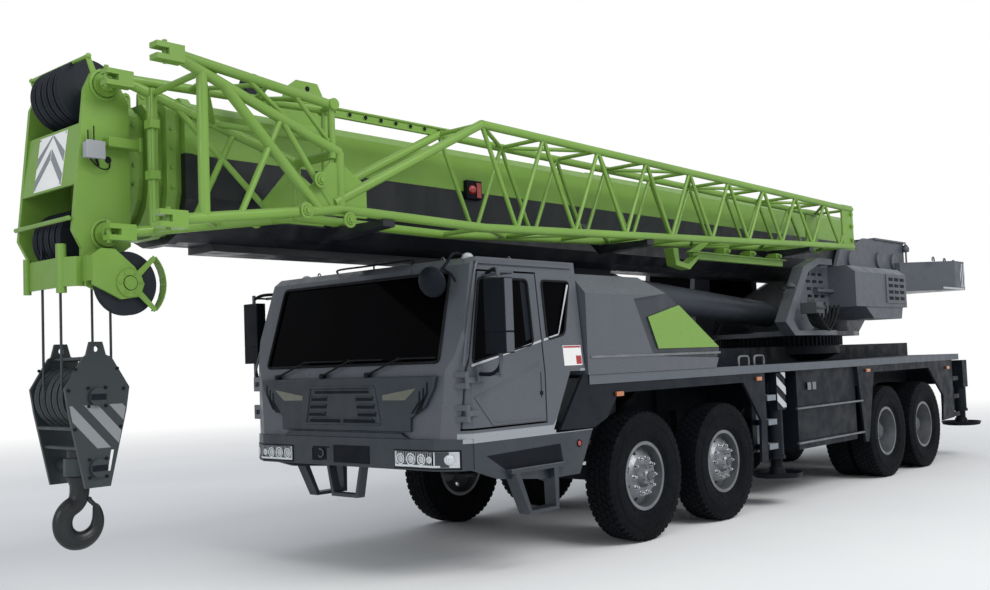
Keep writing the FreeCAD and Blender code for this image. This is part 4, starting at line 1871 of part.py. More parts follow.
# Sheaves
def sheave(name, x, y, z, radius, bore):
    """A sheave with a rope groove, on an axle along Y."""
    half = d.sheave_width / 2
    profile = [
        (-half, bore), (-half, radius), (6 - half, radius), (-8, radius - d.groove_depth),
        (8, radius - d.groove_depth), (half - 6, radius), (half, radius), (half, bore),
    ]
    return lathe(name, "Y", profile, (x, y, z))


def sheave_row(stem, x, z, radius, pin_radius):
    row = []
    count = int(d.sheave_count)
    for k in range(count):
        y = (k - (count - 1) / 2) * d.sheave_pitch
        row.append(sheave("%s_%d" % (stem, k), x, y, z, radius, pin_radius + d.bearing_gap))
    return row


FALL_REACH = d.block_sheave_radius - d.groove_depth + d.rope_radius + d.fit_gap
# Columns: sheave, side of the sheave.
FALLS = ((0, -1), (1, 1), (3, -1), (4, 1))


def rope_leads():
    """The upper ends of the falls, from their bend to the lower head sheaves."""
    leads = []
    for k, side in FALLS:
        y = (k - (int(d.sheave_count) - 1) / 2) * d.sheave_pitch
        reach = d.low_sheave_radius - d.groove_depth + d.rope_radius + d.fit_gap
        leads.append(cylinder("rope_lead_%d" % k, "Z", (d.low_sheave_x + side * reach, y),
                              (d.rope_break_z + d.rope_knot_radius + d.fit_gap, d.low_sheave_z),
                              d.rope_radius))
    return leads


sub_part("head_sheaves", group(
    "head_sheave_set",
    *sheave_row("top_sheave", d.top_sheave_x, d.top_sheave_z, d.top_sheave_radius,
                d.sheave_pin_radius),
    *sheave_row("low_sheave", d.low_sheave_x, d.low_sheave_z, d.low_sheave_radius,
                d.sheave_pin_radius),
    sheave("aux_sheave", d.aux_sheave_x, d.aux_sheave_y, d.aux_sheave_z, d.aux_sheave_radius,
           45 + d.bearing_gap),
    *rope_leads(),
))


# Hook block with its rope falls
def hook_block():
    x = d.block_x
    z = d.block_sheave_z
    inner = d.block_plate_y
    outer = inner + d.block_plate
    pieces = []
    for name, sign in (("left", 1), ("right", -1)):
        plate = prism("block_plate_" + name, "XZ", [
            (x + 95, z + 270), (x + 225, z + 60), (x + 200, z - 100), (x + 90, d.trunnion_z - 130),
            (x - 90, d.trunnion_z - 130), (x - 215, z - 100), (x - 240, z + 60), (x - 110, z + 270),
            (x - 70, z + 285), (x - 45, z + 375), (x + 45, z + 375), (x + 70, z + 285),
        ], ordered(sign * inner, sign * outer))
        ear_hole = cylinder("ear_hole_" + name, "Y", (x, z + 325),
                            ordered(sign * (inner - 1), sign * (outer + 1)), 20)
        pieces.append(cut("block_side_" + name, plate, ear_hole))
        for k, pin_z in enumerate((z, d.trunnion_z)):
            pieces.append(cylinder("block_cap_%s_%d" % (name, k), "Y", (x, pin_z),
                                   ordered(sign * (outer - 1), sign * (outer + 26)), 62))
    pieces.append(cylinder("block_axle", "Y", (x, z), (-outer, outer), d.sheave_pin_radius))
    # Columns: place and height of a cross tie from the sheaves' axle.
    ties = ((-50, 262), (50, 262), (-165, -205), (165, -205), (-120, -340), (120, -340))
    for k, (across, up) in enumerate(ties):
        pieces.append(cylinder("block_tie_%d" % k, "Y", (x + across, z + up),
                               (-inner - 1, inner + 1), 14))
    crosshead = d.crosshead_half_height
    pieces.append(cylinder("trunnion", "Y", (x, d.trunnion_z), (-outer, outer), d.trunnion_radius))
    pieces.append(cylinder("crosshead", "Z", (x, 0), (d.trunnion_z - crosshead,
                                                      d.trunnion_z + crosshead), 105))
    shank_bore = cylinder("shank_bore", "Z", (x, 0),
                          (d.trunnion_z - crosshead - 1, d.trunnion_z + crosshead + 1),
                          d.shank_radius + d.bearing_gap)
    return cut("block_frame", fuse("block_frame_solid", *pieces), shank_bore)


def rope_falls():
    """Four falls of the hoist rope, from the block's sheaves up to their bend."""
    falls = []
    count = int(d.sheave_count)
    for k, side in FALLS:
        y = (k - (count - 1) / 2) * d.sheave_pitch
        centre = (d.block_x + side * FALL_REACH, y)
        fall = cylinder("rope_fall_%d" % k, "Z", centre, (d.block_sheave_z, d.rope_break_z),
                        d.rope_radius)
        end = cylinder("rope_end_%d" % k, "Y", (centre[0], d.rope_break_z),
                       (y - d.rope_knot_radius, y + d.rope_knot_radius), d.rope_knot_radius)
        falls.append(fuse("rope_%d" % k, fall, end))
    return falls


sub_part("hook_block", group(
    "hook_block_set", hook_block(),
    *sheave_row("block_sheave", d.block_x, d.block_sheave_z, d.block_sheave_radius,
                d.sheave_pin_radius),
    *rope_falls(),
))


# Hook with its swivel
def load_hook():
    x = d.block_x
    z = d.hook_bowl_z
    bend = document.addObject("Part::Torus", "hook_bowl")
    bind(bend, "Radius1", d.hook_bowl_radius)
    bind(bend, "Radius2", d.hook_thickness)
    bend.Angle3 = 265
    quarter = Rotation(Vector(1, 0, 0), 90).multiply(Rotation(Vector(0, 0, 1), 90))
    place(bend, x, 0, z, quarter)
    seat_z = d.trunnion_z + d.crosshead_half_height + d.fit_gap
    under_z = d.trunnion_z - d.crosshead_half_height - d.fit_gap
    shank = lathe("hook_shank", "Z", [
        (z + d.hook_bowl_radius - 10, 0), (z + d.hook_bowl_radius - 10, d.hook_thickness),
        (under_z - 60, d.hook_thickness + 10), (under_z, 85), (under_z, d.shank_radius),
        (seat_z, d.shank_radius), (seat_z, 85), (seat_z + 70, 85), (seat_z + 80, 60),
        (seat_z + 80, 0),
    ], (x, 0, 0))
    return fuse("hook_solid", bend, shank)


sub_part("hook", load_hook())


# Stowed lattice jib
def jib_frames():
    """The corners of the jib's cross-frames. Columns: x, outer low z, outer top z."""
    frames = []
    bays = int(d.jib_bays)
    for k in range(bays + 1):
        share = k / bays
        x = float(d.jib_peak_x) + (float(d.jib_rear_x) - float(d.jib_peak_x)) * share
        low = float(d.jib_peak_low_z) + (float(d.jib_rear_low_z) - float(d.jib_peak_low_z)) * share
        top = float(d.jib_peak_top_z) + (float(d.jib_rear_top_z) - float(d.jib_peak_top_z)) * share
        frames.append((x, low, top))
    return frames


def jib_shape():
    chord = float(d.jib_chord_radius)
    brace = float(d.jib_brace_radius)
    outer = float(d.jib_outer_y)
    inner = float(d.jib_inner_y)
    rods = []
    frames = jib_frames()
    first = frames[0]
    last = frames[-1]
    elbow_x = float(d.jib_elbow_x)
    elbow_low = float(d.jib_elbow_low_z)
    for y in (outer, inner):
        rods.append(((elbow_x, y, elbow_low), (first[0], y, first[1]), chord))
        rods.append(((first[0], y, first[1]), (last[0], y, last[1]), chord))
        rods.append(((first[0], y, first[2]), (last[0], y, last[2]), chord))
        rods.append(((elbow_x, y, elbow_low + 40), (first[0], y, first[2]), chord))
    for k, (x, low, top) in enumerate(frames):
        for y in (outer, inner):
            if k < len(frames) - 1:
                next_x, next_low, next_top = frames[k + 1]
                middle = (x + next_x) / 2
                rods.append(((x, y, top), (middle, y, (low + next_low) / 2), brace))
                rods.append(((middle, y, (low + next_low) / 2), (next_x, y, next_top), brace))
        if k < len(frames) - 1:
            next_x, next_low, next_top = frames[k + 1]
            near, far = (outer, inner) if k % 2 == 0 else (inner, outer)
            rods.append(((x, near, top), (next_x, far, next_top), brace))
            rods.append(((x, near, low), (next_x, far, next_low), brace))
        rods.append(((x, outer, top), (x, inner, top), brace))
        rods.append(((x, outer, low), (x, inner, low), brace))
    shapes = [skew_rod(*rod) for rod in rods]
    shapes += jib_adapter()
    shapes += jib_end_plates(last)
    return shapes[0].fuse(shapes[1:])


def jib_adapter():
    """The front piece from the elbow to the four forks."""
    chord = float(d.jib_chord_radius)
    brace = float(d.jib_brace_radius) + 3
    fork_x = float(d.jib_fork_x)
    wide = float(d.jib_fork_outer_y)
    near = float(d.jib_fork_inner_y)
    high = float(d.jib_fork_top_z)
    low = float(d.jib_fork_low_z)
    elbow_x = float(d.jib_elbow_x)
    outer = float(d.jib_outer_y)
    inner = float(d.jib_inner_y)
    elbow_low = float(d.jib_elbow_low_z)
    elbow_top = float(d.jib_elbow_top_z)
    start = elbow_x - 60
    corners = {
        "outer_top": ((fork_x, wide, high), (start, outer, elbow_top)),
        "inner_top": ((fork_x - 60, near, high), (start, inner, elbow_top)),
        "outer_low": ((fork_x, wide, low), (start, outer, elbow_low)),
        "inner_low": ((fork_x - 60, near, low), (start, inner, elbow_low)),
    }

    def at(corner, share):
        front, back = corners[corner]
        return tuple(a + (b - a) * share for a, b in zip(front, back))

    shapes = [skew_rod(front, back, chord) for front, back in corners.values()]
    # Columns: first corner and share of the length, second corner and share.
    members = [
        ("outer_top", 0.16, "outer_low", 0.16, chord),
        ("inner_top", 0.16, "inner_low", 0.16, chord),
        ("outer_top", 0.16, "inner_top", 0.16, brace),
        ("outer_low", 0.16, "inner_low", 0.16, brace),
        ("outer_top", 0.28, "outer_low", 0.86, chord),
        ("outer_low", 0.36, "outer_top", 0.62, brace),
        ("outer_top", 0.62, "outer_low", 0.95, brace),
        ("inner_top", 0.28, "inner_low", 0.86, brace),
        ("inner_low", 0.36, "inner_top", 0.62, brace),
        ("outer_top", 0.16, "inner_top", 0.5, brace),
        ("inner_top", 0.5, "outer_top", 0.85, brace),
        ("outer_low", 0.16, "inner_low", 0.5, brace),
        ("inner_low", 0.5, "outer_low", 0.85, brace),
        ("outer_top", 1.0, "outer_low", 1.0, chord),
        ("inner_top", 1.0, "inner_low", 1.0, chord),
        ("outer_top", 1.0, "inner_top", 1.0, chord),
    ]
    for first, first_share, second, second_share, radius in members:
        shapes.append(skew_rod(at(first, first_share), at(second, second_share), radius))
    for front, back in corners.values():
        shapes.append(fork_head(front))
    return shapes


def fork_head(place_at):
    """A fork of two cheeks on a block, open to the front."""
    x, y, z = place_at
    block = Part.makeBox(110, 90, 110, Vector(x - 70, y - 45, z - 55))
    cheeks = [Part.makeBox(95, 90, 34, Vector(x + 30, y - 45, z + offset)) for offset in (-55, 21)]
    return block.fuse(cheeks)


def jib_end_plates(last):
    """Connection plates at the jib's rear end and at its elbow."""
    x, low, top = last
    plates = []
    for y in (float(d.jib_outer_y), float(d.jib_inner_y)):
        plates.append(Part.makeBox(330, 24, top - low + 90, Vector(x - 20, y - 12, low - 45)))
        elbow_x = float(d.jib_elbow_x)
        elbow_low = float(d.jib_elbow_low_z)
        points = [
            Vector(elbow_x - 300, y - 14, elbow_low - 50), Vector(elbow_x + 170, y - 14, elbow_low - 50),
            Vector(elbow_x + 250, y - 14, elbow_low + 90), Vector(elbow_x + 30, y - 14, elbow_low + 330),
            Vector(elbow_x - 80, y - 14, elbow_low + 330), Vector(elbow_x - 300, y - 14, elbow_low + 190),
        ]
        plates.append(Part.Face(Part.makePolygon(points + points[:1])).extrude(Vector(0, 28, 0)))
    return plates


sub_part("jib", computed("lattice_jib", jib_shape()))


# Checks and export
document.recompute()
for item in document.Objects:
    if "Invalid" in item.State or "Error" in item.State:
        raise RuntimeError("%s did not build: %s" % (item.Name, item.State))
if len({item.Label for item in NODES}) != len(NODES):
    raise RuntimeError("two sub-parts share a label")
for item in NODES:
    if item.Shape.isNull() or not item.Shape.isValid():
        raise RuntimeError("%s has no valid shape" % item.Label)
for item in NODES:
    item.Shape.exportStep("parts/%s.step" % item.Label)
print("%d sub-parts" % len(NODES))
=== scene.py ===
"""Looks of the eight-wheeled mobile crane: camera, light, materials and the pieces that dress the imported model."""

import json
import math

import bmesh
import bpy
from mathutils import Matrix, Vector

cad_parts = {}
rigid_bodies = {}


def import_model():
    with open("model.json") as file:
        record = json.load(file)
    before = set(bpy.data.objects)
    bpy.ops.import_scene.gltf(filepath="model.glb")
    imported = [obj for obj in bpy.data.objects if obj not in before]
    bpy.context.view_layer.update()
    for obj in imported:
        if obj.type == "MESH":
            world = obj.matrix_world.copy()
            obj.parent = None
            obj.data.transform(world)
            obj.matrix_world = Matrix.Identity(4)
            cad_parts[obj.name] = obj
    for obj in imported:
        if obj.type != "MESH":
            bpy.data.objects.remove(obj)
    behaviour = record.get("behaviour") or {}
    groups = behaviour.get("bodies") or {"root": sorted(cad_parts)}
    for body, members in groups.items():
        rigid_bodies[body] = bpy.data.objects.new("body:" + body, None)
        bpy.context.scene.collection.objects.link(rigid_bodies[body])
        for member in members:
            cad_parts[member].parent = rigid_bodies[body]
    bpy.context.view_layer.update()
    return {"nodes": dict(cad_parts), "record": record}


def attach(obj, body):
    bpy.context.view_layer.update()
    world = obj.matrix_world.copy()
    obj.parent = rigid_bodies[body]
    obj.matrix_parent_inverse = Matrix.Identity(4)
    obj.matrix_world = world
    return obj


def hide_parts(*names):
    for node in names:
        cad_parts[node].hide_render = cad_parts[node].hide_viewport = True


for old in list(bpy.data.objects):
    bpy.data.objects.remove(old)

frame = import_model()
nodes = frame["nodes"]

# Camera

PHOTO_WIDE, PHOTO_HIGH = 990, 590
FOCAL, MIDDLE_X, MIDDLE_Y = 1060.61, 483.18, 302.67
FILM = 36


def camera_at():
    """The view of the photograph, from ahead and left at eye height, in the photo's pixels."""
    yaw, pitch, roll = math.radians(222.392), math.radians(3.136), math.radians(-2.103)
    look = Vector((math.cos(pitch) * math.cos(yaw), math.cos(pitch) * math.sin(yaw), math.sin(pitch)))
    side = look.cross(Vector((0, 0, 1))).normalized()
    high = side.cross(look)
    right = side * math.cos(roll) + high * math.sin(roll)
    up = high * math.cos(roll) - side * math.sin(roll)
    turn = Matrix((right, up, -look)).transposed()
    lens = bpy.data.cameras.new("camera")
    lens.sensor_width = FILM
    lens.lens = FOCAL * FILM / PHOTO_WIDE
    lens.shift_x = (PHOTO_WIDE / 2 - MIDDLE_X) / PHOTO_WIDE
    lens.shift_y = (MIDDLE_Y - PHOTO_HIGH / 2) / PHOTO_WIDE
    item = bpy.data.objects.new("camera", lens)
    item.matrix_world = Matrix.Translation((10.65, 7.0857, 1.758)) @ turn.to_4x4()
    bpy.context.scene.collection.objects.link(item)
    bpy.context.scene.camera = item


camera_at()

# Materials


def srgb(red, green, blue):
    """A colour as it looks on screen, 0 to 255, as a linear colour."""
    values = [c / 255 for c in (red, green, blue)]
    return tuple(c / 12.92 if c <= 0.04045 else ((c + 0.055) / 1.055) ** 2.4 for c in values) + (1.0,)


class Finish:
    """A node material with the helpers that its layers need."""

    def __init__(self, name, colour, rough=0.5, metal=0.0, gloss=0.5):
        self.material = bpy.data.materials.new(name)
        self.material.use_nodes = True
        self.tree = self.material.node_tree
        self.tree.nodes.clear()
        self.shader = self.node("BsdfPrincipled")
        self.out = self.node("OutputMaterial").inputs["Surface"]
        self.link(self.shader.outputs["BSDF"], self.out)
        self.place = self.node("TexCoord").outputs["Object"]
        self.shader.inputs["Base Color"].default_value = colour
        self.shader.inputs["Roughness"].default_value = rough
        self.shader.inputs["Metallic"].default_value = metal
        self.shader.inputs["Specular IOR Level"].default_value = gloss
        self.material.diffuse_color = colour

    def node(self, kind):
        return self.tree.nodes.new("ShaderNode" + kind)

    def link(self, output, socket):
        self.tree.links.new(output, socket)

    def put(self, value, socket):
        """A number, a colour or another node's output into a socket."""
        if hasattr(value, "is_linked"):
            self.link(value, socket)
        else:
            socket.default_value = value

    def math(self, kind, a, b=0.0, clamp=False):
        node = self.node("Math")
        node.operation = kind
        node.use_clamp = clamp
        self.put(a, node.inputs[0])
        self.put(b, node.inputs[1])
        return node.outputs[0]

    def times(self, a, b):
        return self.math("MULTIPLY", a, b)

    def above(self, a, b):
        return self.math("GREATER_THAN", a, b)

    def below(self, a, b):
        return self.math("LESS_THAN", a, b)

    def span(self, value, low, high, start=0.0, end=1.0):
        node = self.node("MapRange")
        self.put(value, node.inputs["Value"])
        for name, number in (("From Min", low), ("From Max", high), ("To Min", start), ("To Max", end)):
            node.inputs[name].default_value = number
        return node.outputs["Result"]

    def noise(self, scale, low=0.35, high=0.65, detail=3.0, stretch=(1, 1, 1)):
        place = self.place
        if stretch != (1, 1, 1):
            node = self.node("Mapping")
            node.inputs["Scale"].default_value = stretch
            self.link(place, node.inputs["Vector"])
            place = node.outputs["Vector"]
        node = self.node("TexNoise")
        node.inputs["Scale"].default_value = scale
        node.inputs["Detail"].default_value = detail
        self.link(place, node.inputs["Vector"])
        return self.span(node.outputs["Fac"], low, high)

    def along(self, axis):
        node = self.node("SeparateXYZ")
        self.link(self.place, node.inputs[0])
        return node.outputs[axis]

    def facing_up(self):
        geometry = self.node("NewGeometry")
        node = self.node("SeparateXYZ")
        self.link(geometry.outputs["Normal"], node.inputs[0])
        return self.span(node.outputs["Z"], 0.3, 0.95)

    def mix(self, share, a, b):
        node = self.node("Mix")
        node.data_type = "RGBA"
        self.put(share, node.inputs["Factor"])
        self.put(a, node.inputs["A"])
        self.put(b, node.inputs["B"])
        return node.outputs["Result"]

    def bump(self, height, distance, strength=1.0):
        node = self.node("Bump")
        node.inputs["Distance"].default_value = distance
        node.inputs["Strength"].default_value = strength
        self.link(height, node.inputs["Height"])
        self.link(node.outputs["Normal"], self.shader.inputs["Normal"])

    def coloured(self, colour):
        self.link(colour, self.shader.inputs["Base Color"])

    def roughened(self, value):
        self.link(value, self.shader.inputs["Roughness"])


def shade(colour, amount):
    return tuple(c * amount for c in colour[:3]) + (1.0,)


DUST = srgb(122, 120, 114)


def worn_paint(finish, base, rough=0.38, dust=0.16, grime=DUST):
    """Sprayed steel: slow colour drift, faint streaks, dust on what faces up, few chips, orange peel."""
    low, high = (base, base) if hasattr(base, "is_linked") else (shade(base, 0.9), shade(base, 1.08))
    tone = finish.mix(finish.noise(0.9), low, high)
    streak = finish.times(finish.noise(3.0, 0.5, 0.85, 4.0, (1.5, 1.5, 0.25)), 0.07)
    tone = finish.mix(streak, tone, grime)
    settled = finish.times(finish.facing_up(), finish.noise(2.2, 0.3, 0.8))
    tone = finish.mix(finish.times(settled, dust), tone, grime)
    chip = finish.times(finish.noise(38.0, 0.74, 0.76, 2.0), finish.noise(4.0, 0.6, 0.75))
    tone = finish.mix(finish.times(chip, 0.5), tone, srgb(60, 52, 46))
    finish.coloured(tone)
    finish.roughened(finish.span(finish.noise(7.0), 0.0, 1.0, rough - 0.07, rough + 0.12))
    finish.bump(finish.noise(240.0, 0.2, 0.8, 1.0), 0.00035, 0.5)
    return finish.material


def painted(name, colour, rough=0.38, dust=0.16, gloss=0.4, grime=DUST):
    finish = Finish(name, colour, rough, 0.0, gloss)
    return worn_paint(finish, colour, rough, dust, grime)


def bare_metal(name, colour, rough, metal=1.0, grain=220.0):
    finish = Finish(name, colour, rough, metal)
    tone = finish.mix(finish.noise(5.0), shade(colour, 0.8), shade(colour, 1.1))
    finish.coloured(finish.mix(finish.times(finish.noise(1.4, 0.5, 0.9), 0.35), tone, DUST))
    finish.roughened(finish.span(finish.noise(18.0, 0.3, 0.7, 5.0), 0.0, 1.0, rough - 0.08, rough + 0.14))
    finish.bump(finish.noise(grain, 0.3, 0.7, 2.0), 0.0004, 0.5)
    return finish.material


def rubber(name, colour, rough=0.72):
    finish = Finish(name, colour, rough, 0.0, 0.1)
    tone = finish.mix(finish.noise(2.5), shade(colour, 0.75), shade(colour, 1.25))
    finish.coloured(finish.mix(finish.times(finish.noise(9.0, 0.5, 0.8, 5.0), 0.02), tone, DUST))
    finish.roughened(finish.span(finish.noise(30.0), 0.0, 1.0, rough - 0.08, rough + 0.1))
    finish.bump(finish.noise(160.0, 0.3, 0.7, 4.0), 0.0008, 0.6)
    return finish.material


def glass(name, colour):
    """Near black panes with a faint sheen."""
    finish = Finish(name, colour, 0.06, 0.0, 0.02)
    finish.coloured(finish.mix(finish.noise(1.2), colour, shade(colour, 1.9)))
    finish.roughened(finish.span(finish.noise(3.0, 0.4, 0.8), 0.0, 1.0, 0.06, 0.06 + 0.05))
    return finish.material


def lens(name, colour):
    """Moulded lamp plastic, clear over a ribbed back."""
    finish = Finish(name, colour, 0.18, 0.0, 0.6)
    node = finish.node("TexWave")
    node.inputs["Scale"].default_value = 55.0
    finish.link(finish.place, node.inputs["Vector"])
    finish.coloured(finish.mix(node.outputs["Fac"], shade(colour, 0.6), shade(colour, 1.15)))
    finish.roughened(finish.span(finish.noise(12.0), 0.0, 1.0, 0.12, 0.25))
    finish.bump(node.outputs["Fac"], 0.0015, 0.6)
    finish.shader.inputs["Coat Weight"].default_value = 0.8
    finish.shader.inputs["Coat Roughness"].default_value = 0.05
    return finish.material


GREEN = srgb(112, 150, 62)
GREY = srgb(80, 84, 91)
DARK = srgb(20, 25, 32)
BLACK = srgb(14, 18, 25)
SOOT = srgb(52, 55, 58)

lime_paint = painted("lime_paint", GREEN, 0.36, 0.10)
grey_paint = painted("grey_paint", GREY, 0.34, 0.12)
dark_paint = painted("dark_paint", DARK, 0.45, 0.3, 0.12, SOOT)
black_steel = painted("black_steel", BLACK, 0.48, 0.3, 0.12, SOOT)
pale_paint = painted("pale_paint", srgb(178, 182, 186), 0.4, 0.1)
cast_grey = painted("cast_grey", srgb(74, 78, 82), 0.55, 0.25)
rim_silver = bare_metal("rim_silver", srgb(128, 131, 135), 0.40, 0.7)
chrome = bare_metal("chrome", srgb(196, 198, 200), 0.14)
reflector = bare_metal("reflector", srgb(196, 199, 202), 0.6, 0.1)
tyre_rubber = rubber("tyre", srgb(10, 12, 17))
hose_rubber = rubber("hose_rubber", srgb(24, 25, 28), 0.55)
dark_glass = glass("dark_glass", srgb(3, 3, 4))
seat_plastic = rubber("seat_plastic", srgb(46, 48, 52), 0.6)
sheave_plastic = painted("sheave_plastic", srgb(30, 35, 42), 0.5, 0.08, 0.2)
clear_lamp = lens("clear_lamp", srgb(205, 210, 214))
amber_lamp = lens("amber_lamp", srgb(186, 108, 52))
red_lamp = lens("red_lamp", srgb(176, 30, 26))
rope_steel = bare_metal("rope_steel", srgb(72, 74, 78), 0.5, 0.8, 500.0)


def boom_tones():
    """The base boom: green upper band, black below, with a crisp painted edge."""
    finish = Finish("boom_tones", GREEN, 0.36)
    upper = finish.span(finish.along("Z"), 3.328, 3.332)
    return worn_paint(finish, finish.mix(upper, BLACK, GREEN), 0.36, 0.1)


def cab_tones():
    """The cab's grey, with its pale sill and rear lower edge."""
    finish = Finish("cab_tones", GREY, 0.34)
    high, ahead = finish.along("Z"), finish.along("X")
    sill = finish.span(high, 1.190, 1.193, 1.0, 0.0)
    slant = finish.math("ADD", finish.times(ahead, 0.750), finish.times(high, 0.661))
    edge = finish.span(slant, 3.455, 3.459, 1.0, 0.0)
    below = finish.times(finish.span(high, 1.66, 1.663, 1.0, 0.0), edge)
    wide = finish.above(finish.math("ABSOLUTE", finish.along("Y")), 1.29)
    pale = finish.times(finish.math("MAXIMUM", sill, below), wide)
    return worn_paint(finish, finish.mix(pale, GREY, srgb(142, 147, 153)), 0.34, 0.12)


def within(finish, outline):
    """1 inside an outline of (x, z) corners, 0 outside."""
    ahead, high, inside = finish.along("X"), finish.along("Z"), 1.0
    for (x1, z1), (x2, z2) in zip(outline, outline[1:] + outline[:1]):
        a, b = z2 - z1, x1 - x2
        reach = finish.math("ADD", finish.times(ahead, a), finish.times(high, b))
        inside = finish.times(inside, finish.below(reach, a * x1 + b * z1))
    return inside


def hood_tones():
    """The engine cover's grey, with the green field in the sunk panel of each side and painted shade on the rest of
    that sunk panel.
    """
    finish = Finish("hood_tones", GREY, 0.34)
    aside = finish.math("ABSOLUTE", finish.along("Y"))
    outer = finish.below(aside, 1.3905)
    field = within(finish, [(2.07, 2.12), (1.39, 2.27), (0.70, 2.01), (0.77, 1.815), (1.91, 1.815)])
    hollow_shade = within(finish, [(2.31, 2.29), (1.33, 2.40), (0.62, 1.93), (0.69, 1.70), (2.01, 1.745)])
    panel = finish.times(outer, finish.above(aside, 1.375))
    wall = finish.times(outer, finish.above(aside, 1.30))
    # Painted shade: the sunk wall inside each side's outline is darkened to stand in for the shade there.
    tone = finish.mix(finish.times(hollow_shade, wall), GREY, srgb(46, 51, 58))
    return worn_paint(finish, finish.mix(finish.times(field, panel), tone, GREEN), 0.34, 0.12)


def bumper_tones():
    """Slate bumper and skirts, pale along the top of the skirts."""
    finish = Finish("bumper_tones", SLATE, 0.4)
    band = finish.above(finish.along("Z"), 1.115)
    wide = finish.above(finish.math("ABSOLUTE", finish.along("Y")), 1.33)
    return worn_paint(finish, finish.mix(finish.times(band, wide), SLATE, srgb(142, 147, 153)), 0.4, 0.1)


def deck_tones():
    """Dark decks with a grey band along their edge."""
    finish = Finish("deck_tones", DARK, 0.42, 0.0, 0.15)
    band = finish.above(finish.along("Z"), 1.512)
    wide = finish.above(finish.math("ABSOLUTE", finish.along("Y")), 1.384)
    tone = finish.mix(finish.times(band, wide), DARK, srgb(92, 97, 104))
    ahead = finish.along("X")
    rung = finish.times(finish.above(ahead, -0.50), finish.below(ahead, -0.25))
    low = finish.times(rung, finish.below(finish.along("Z"), 1.40))
    return worn_paint(finish, finish.mix(low, tone, srgb(120, 126, 134)), 0.42, 0.3, grime=SOOT)


SLATE = srgb(40, 47, 55)
boom_paint = boom_tones()
slate_paint = painted("slate_paint", SLATE, 0.38, 0.1)
olive_lamp = lens("olive_lamp", srgb(70, 76, 48))
notice_white = painted("notice_white", srgb(226, 227, 225), 0.5, 0.05)
stripe_grey = painted("stripe_grey", srgb(128, 131, 134), 0.45, 0.08)
pale_grey = painted("pale_grey", srgb(150, 153, 158), 0.42, 0.06)
hook_black = painted("hook_black", srgb(24, 28, 31), 0.36, 0.05)

SLOTS = {"lime_paint": lime_paint, "grey_paint": grey_paint, "dark_paint": dark_paint, "black_steel": black_steel,
         "rim_silver": rim_silver, "cast_grey": cast_grey, "chrome": chrome, "tyre": tyre_rubber,
         "dark_glass": dark_glass, "seat_plastic": seat_plastic, "sheave_plastic": sheave_plastic}
OWN = {"boom_base": boom_paint, "cab_shell": cab_tones(), "engine_hood": hood_tones(),
       "front_bumper": bumper_tones(), "decks": deck_tones(),
       "lift_barrel": painted("barrel_grey", srgb(84, 89, 97), 0.36, 0.1),
       "hook_block": painted("block_slate", srgb(46, 53, 55), 0.4, 0.06)}
SLOT_OF = {finish.name: slot for slot, finish in SLOTS.items()}
for slot, group in (("grey_paint", (pale_paint, slate_paint, notice_white, stripe_grey, pale_grey)),
                    ("dark_glass", (clear_lamp, amber_lamp, red_lamp, olive_lamp)), ("seat_plastic", (hose_rubber,)),
                    ("black_steel", (rope_steel, hook_black)), ("chrome", (reflector,))):
    SLOT_OF.update((finish.name, slot) for finish in group)


def paint_nodes():
    """Each node of the model gets the finish of its slot."""
    for row in frame["record"]["subparts"]:
        item = nodes[row["node"]]
        finish = OWN.get(row["node"], SLOTS[row["material_slot"]])
        item.data.materials.clear()
        item.data.materials.append(finish)


paint_nodes()

# Floor, backdrop and light


def backdrop():
    """A pale floor that fades into white behind the object."""
    grid = bmesh.new()
    bmesh.ops.create_grid(grid, x_segments=4, y_segments=4, size=90)
    mesh = bpy.data.meshes.new("floor")
    grid.to_mesh(mesh)
    grid.free()
    floor = bpy.data.objects.new("floor", mesh)
    bpy.context.scene.collection.objects.link(floor)
    finish = Finish("floor_white", srgb(238, 239, 241), 0.9, 0.0, 0.1)
    finish.coloured(finish.mix(finish.noise(0.3), srgb(236, 237, 239), srgb(241, 242, 243)))
    white, gradient, path, blend = (finish.node(kind) for kind in ("Emission", "VectorMath", "LightPath",
                                                                   "MixShader"))
    white.inputs["Color"].default_value = (1, 1, 1, 1)
    gradient.operation = "LENGTH"
    finish.link(finish.place, gradient.inputs[0])
    far = finish.span(gradient.outputs["Value"], 9.0, 24.0)
    seen = finish.math("ADD", path.outputs["Is Camera Ray"], path.outputs["Is Glossy Ray"], True)
    for output, socket in ((finish.times(far, seen), blend.inputs[0]),
                           (finish.shader.outputs[0], blend.inputs[1]),
                           (white.outputs[0], blend.inputs[2]), (blend.outputs[0], finish.out)):
        finish.link(output, socket)
    mesh.materials.append(finish.material)


def lamp(name, place, aim, size, power, colour=(1, 1, 1)):
    data = bpy.data.lights.new(name, "AREA")
    data.shape = "RECTANGLE"
    data.size, data.size_y = size
    data.energy = power
    data.color = colour
    item = bpy.data.objects.new(name, data)
    item.location = place
    item.rotation_euler = (Vector(aim) - Vector(place)).to_track_quat("-Z", "Y").to_euler()
    bpy.context.scene.collection.objects.link(item)


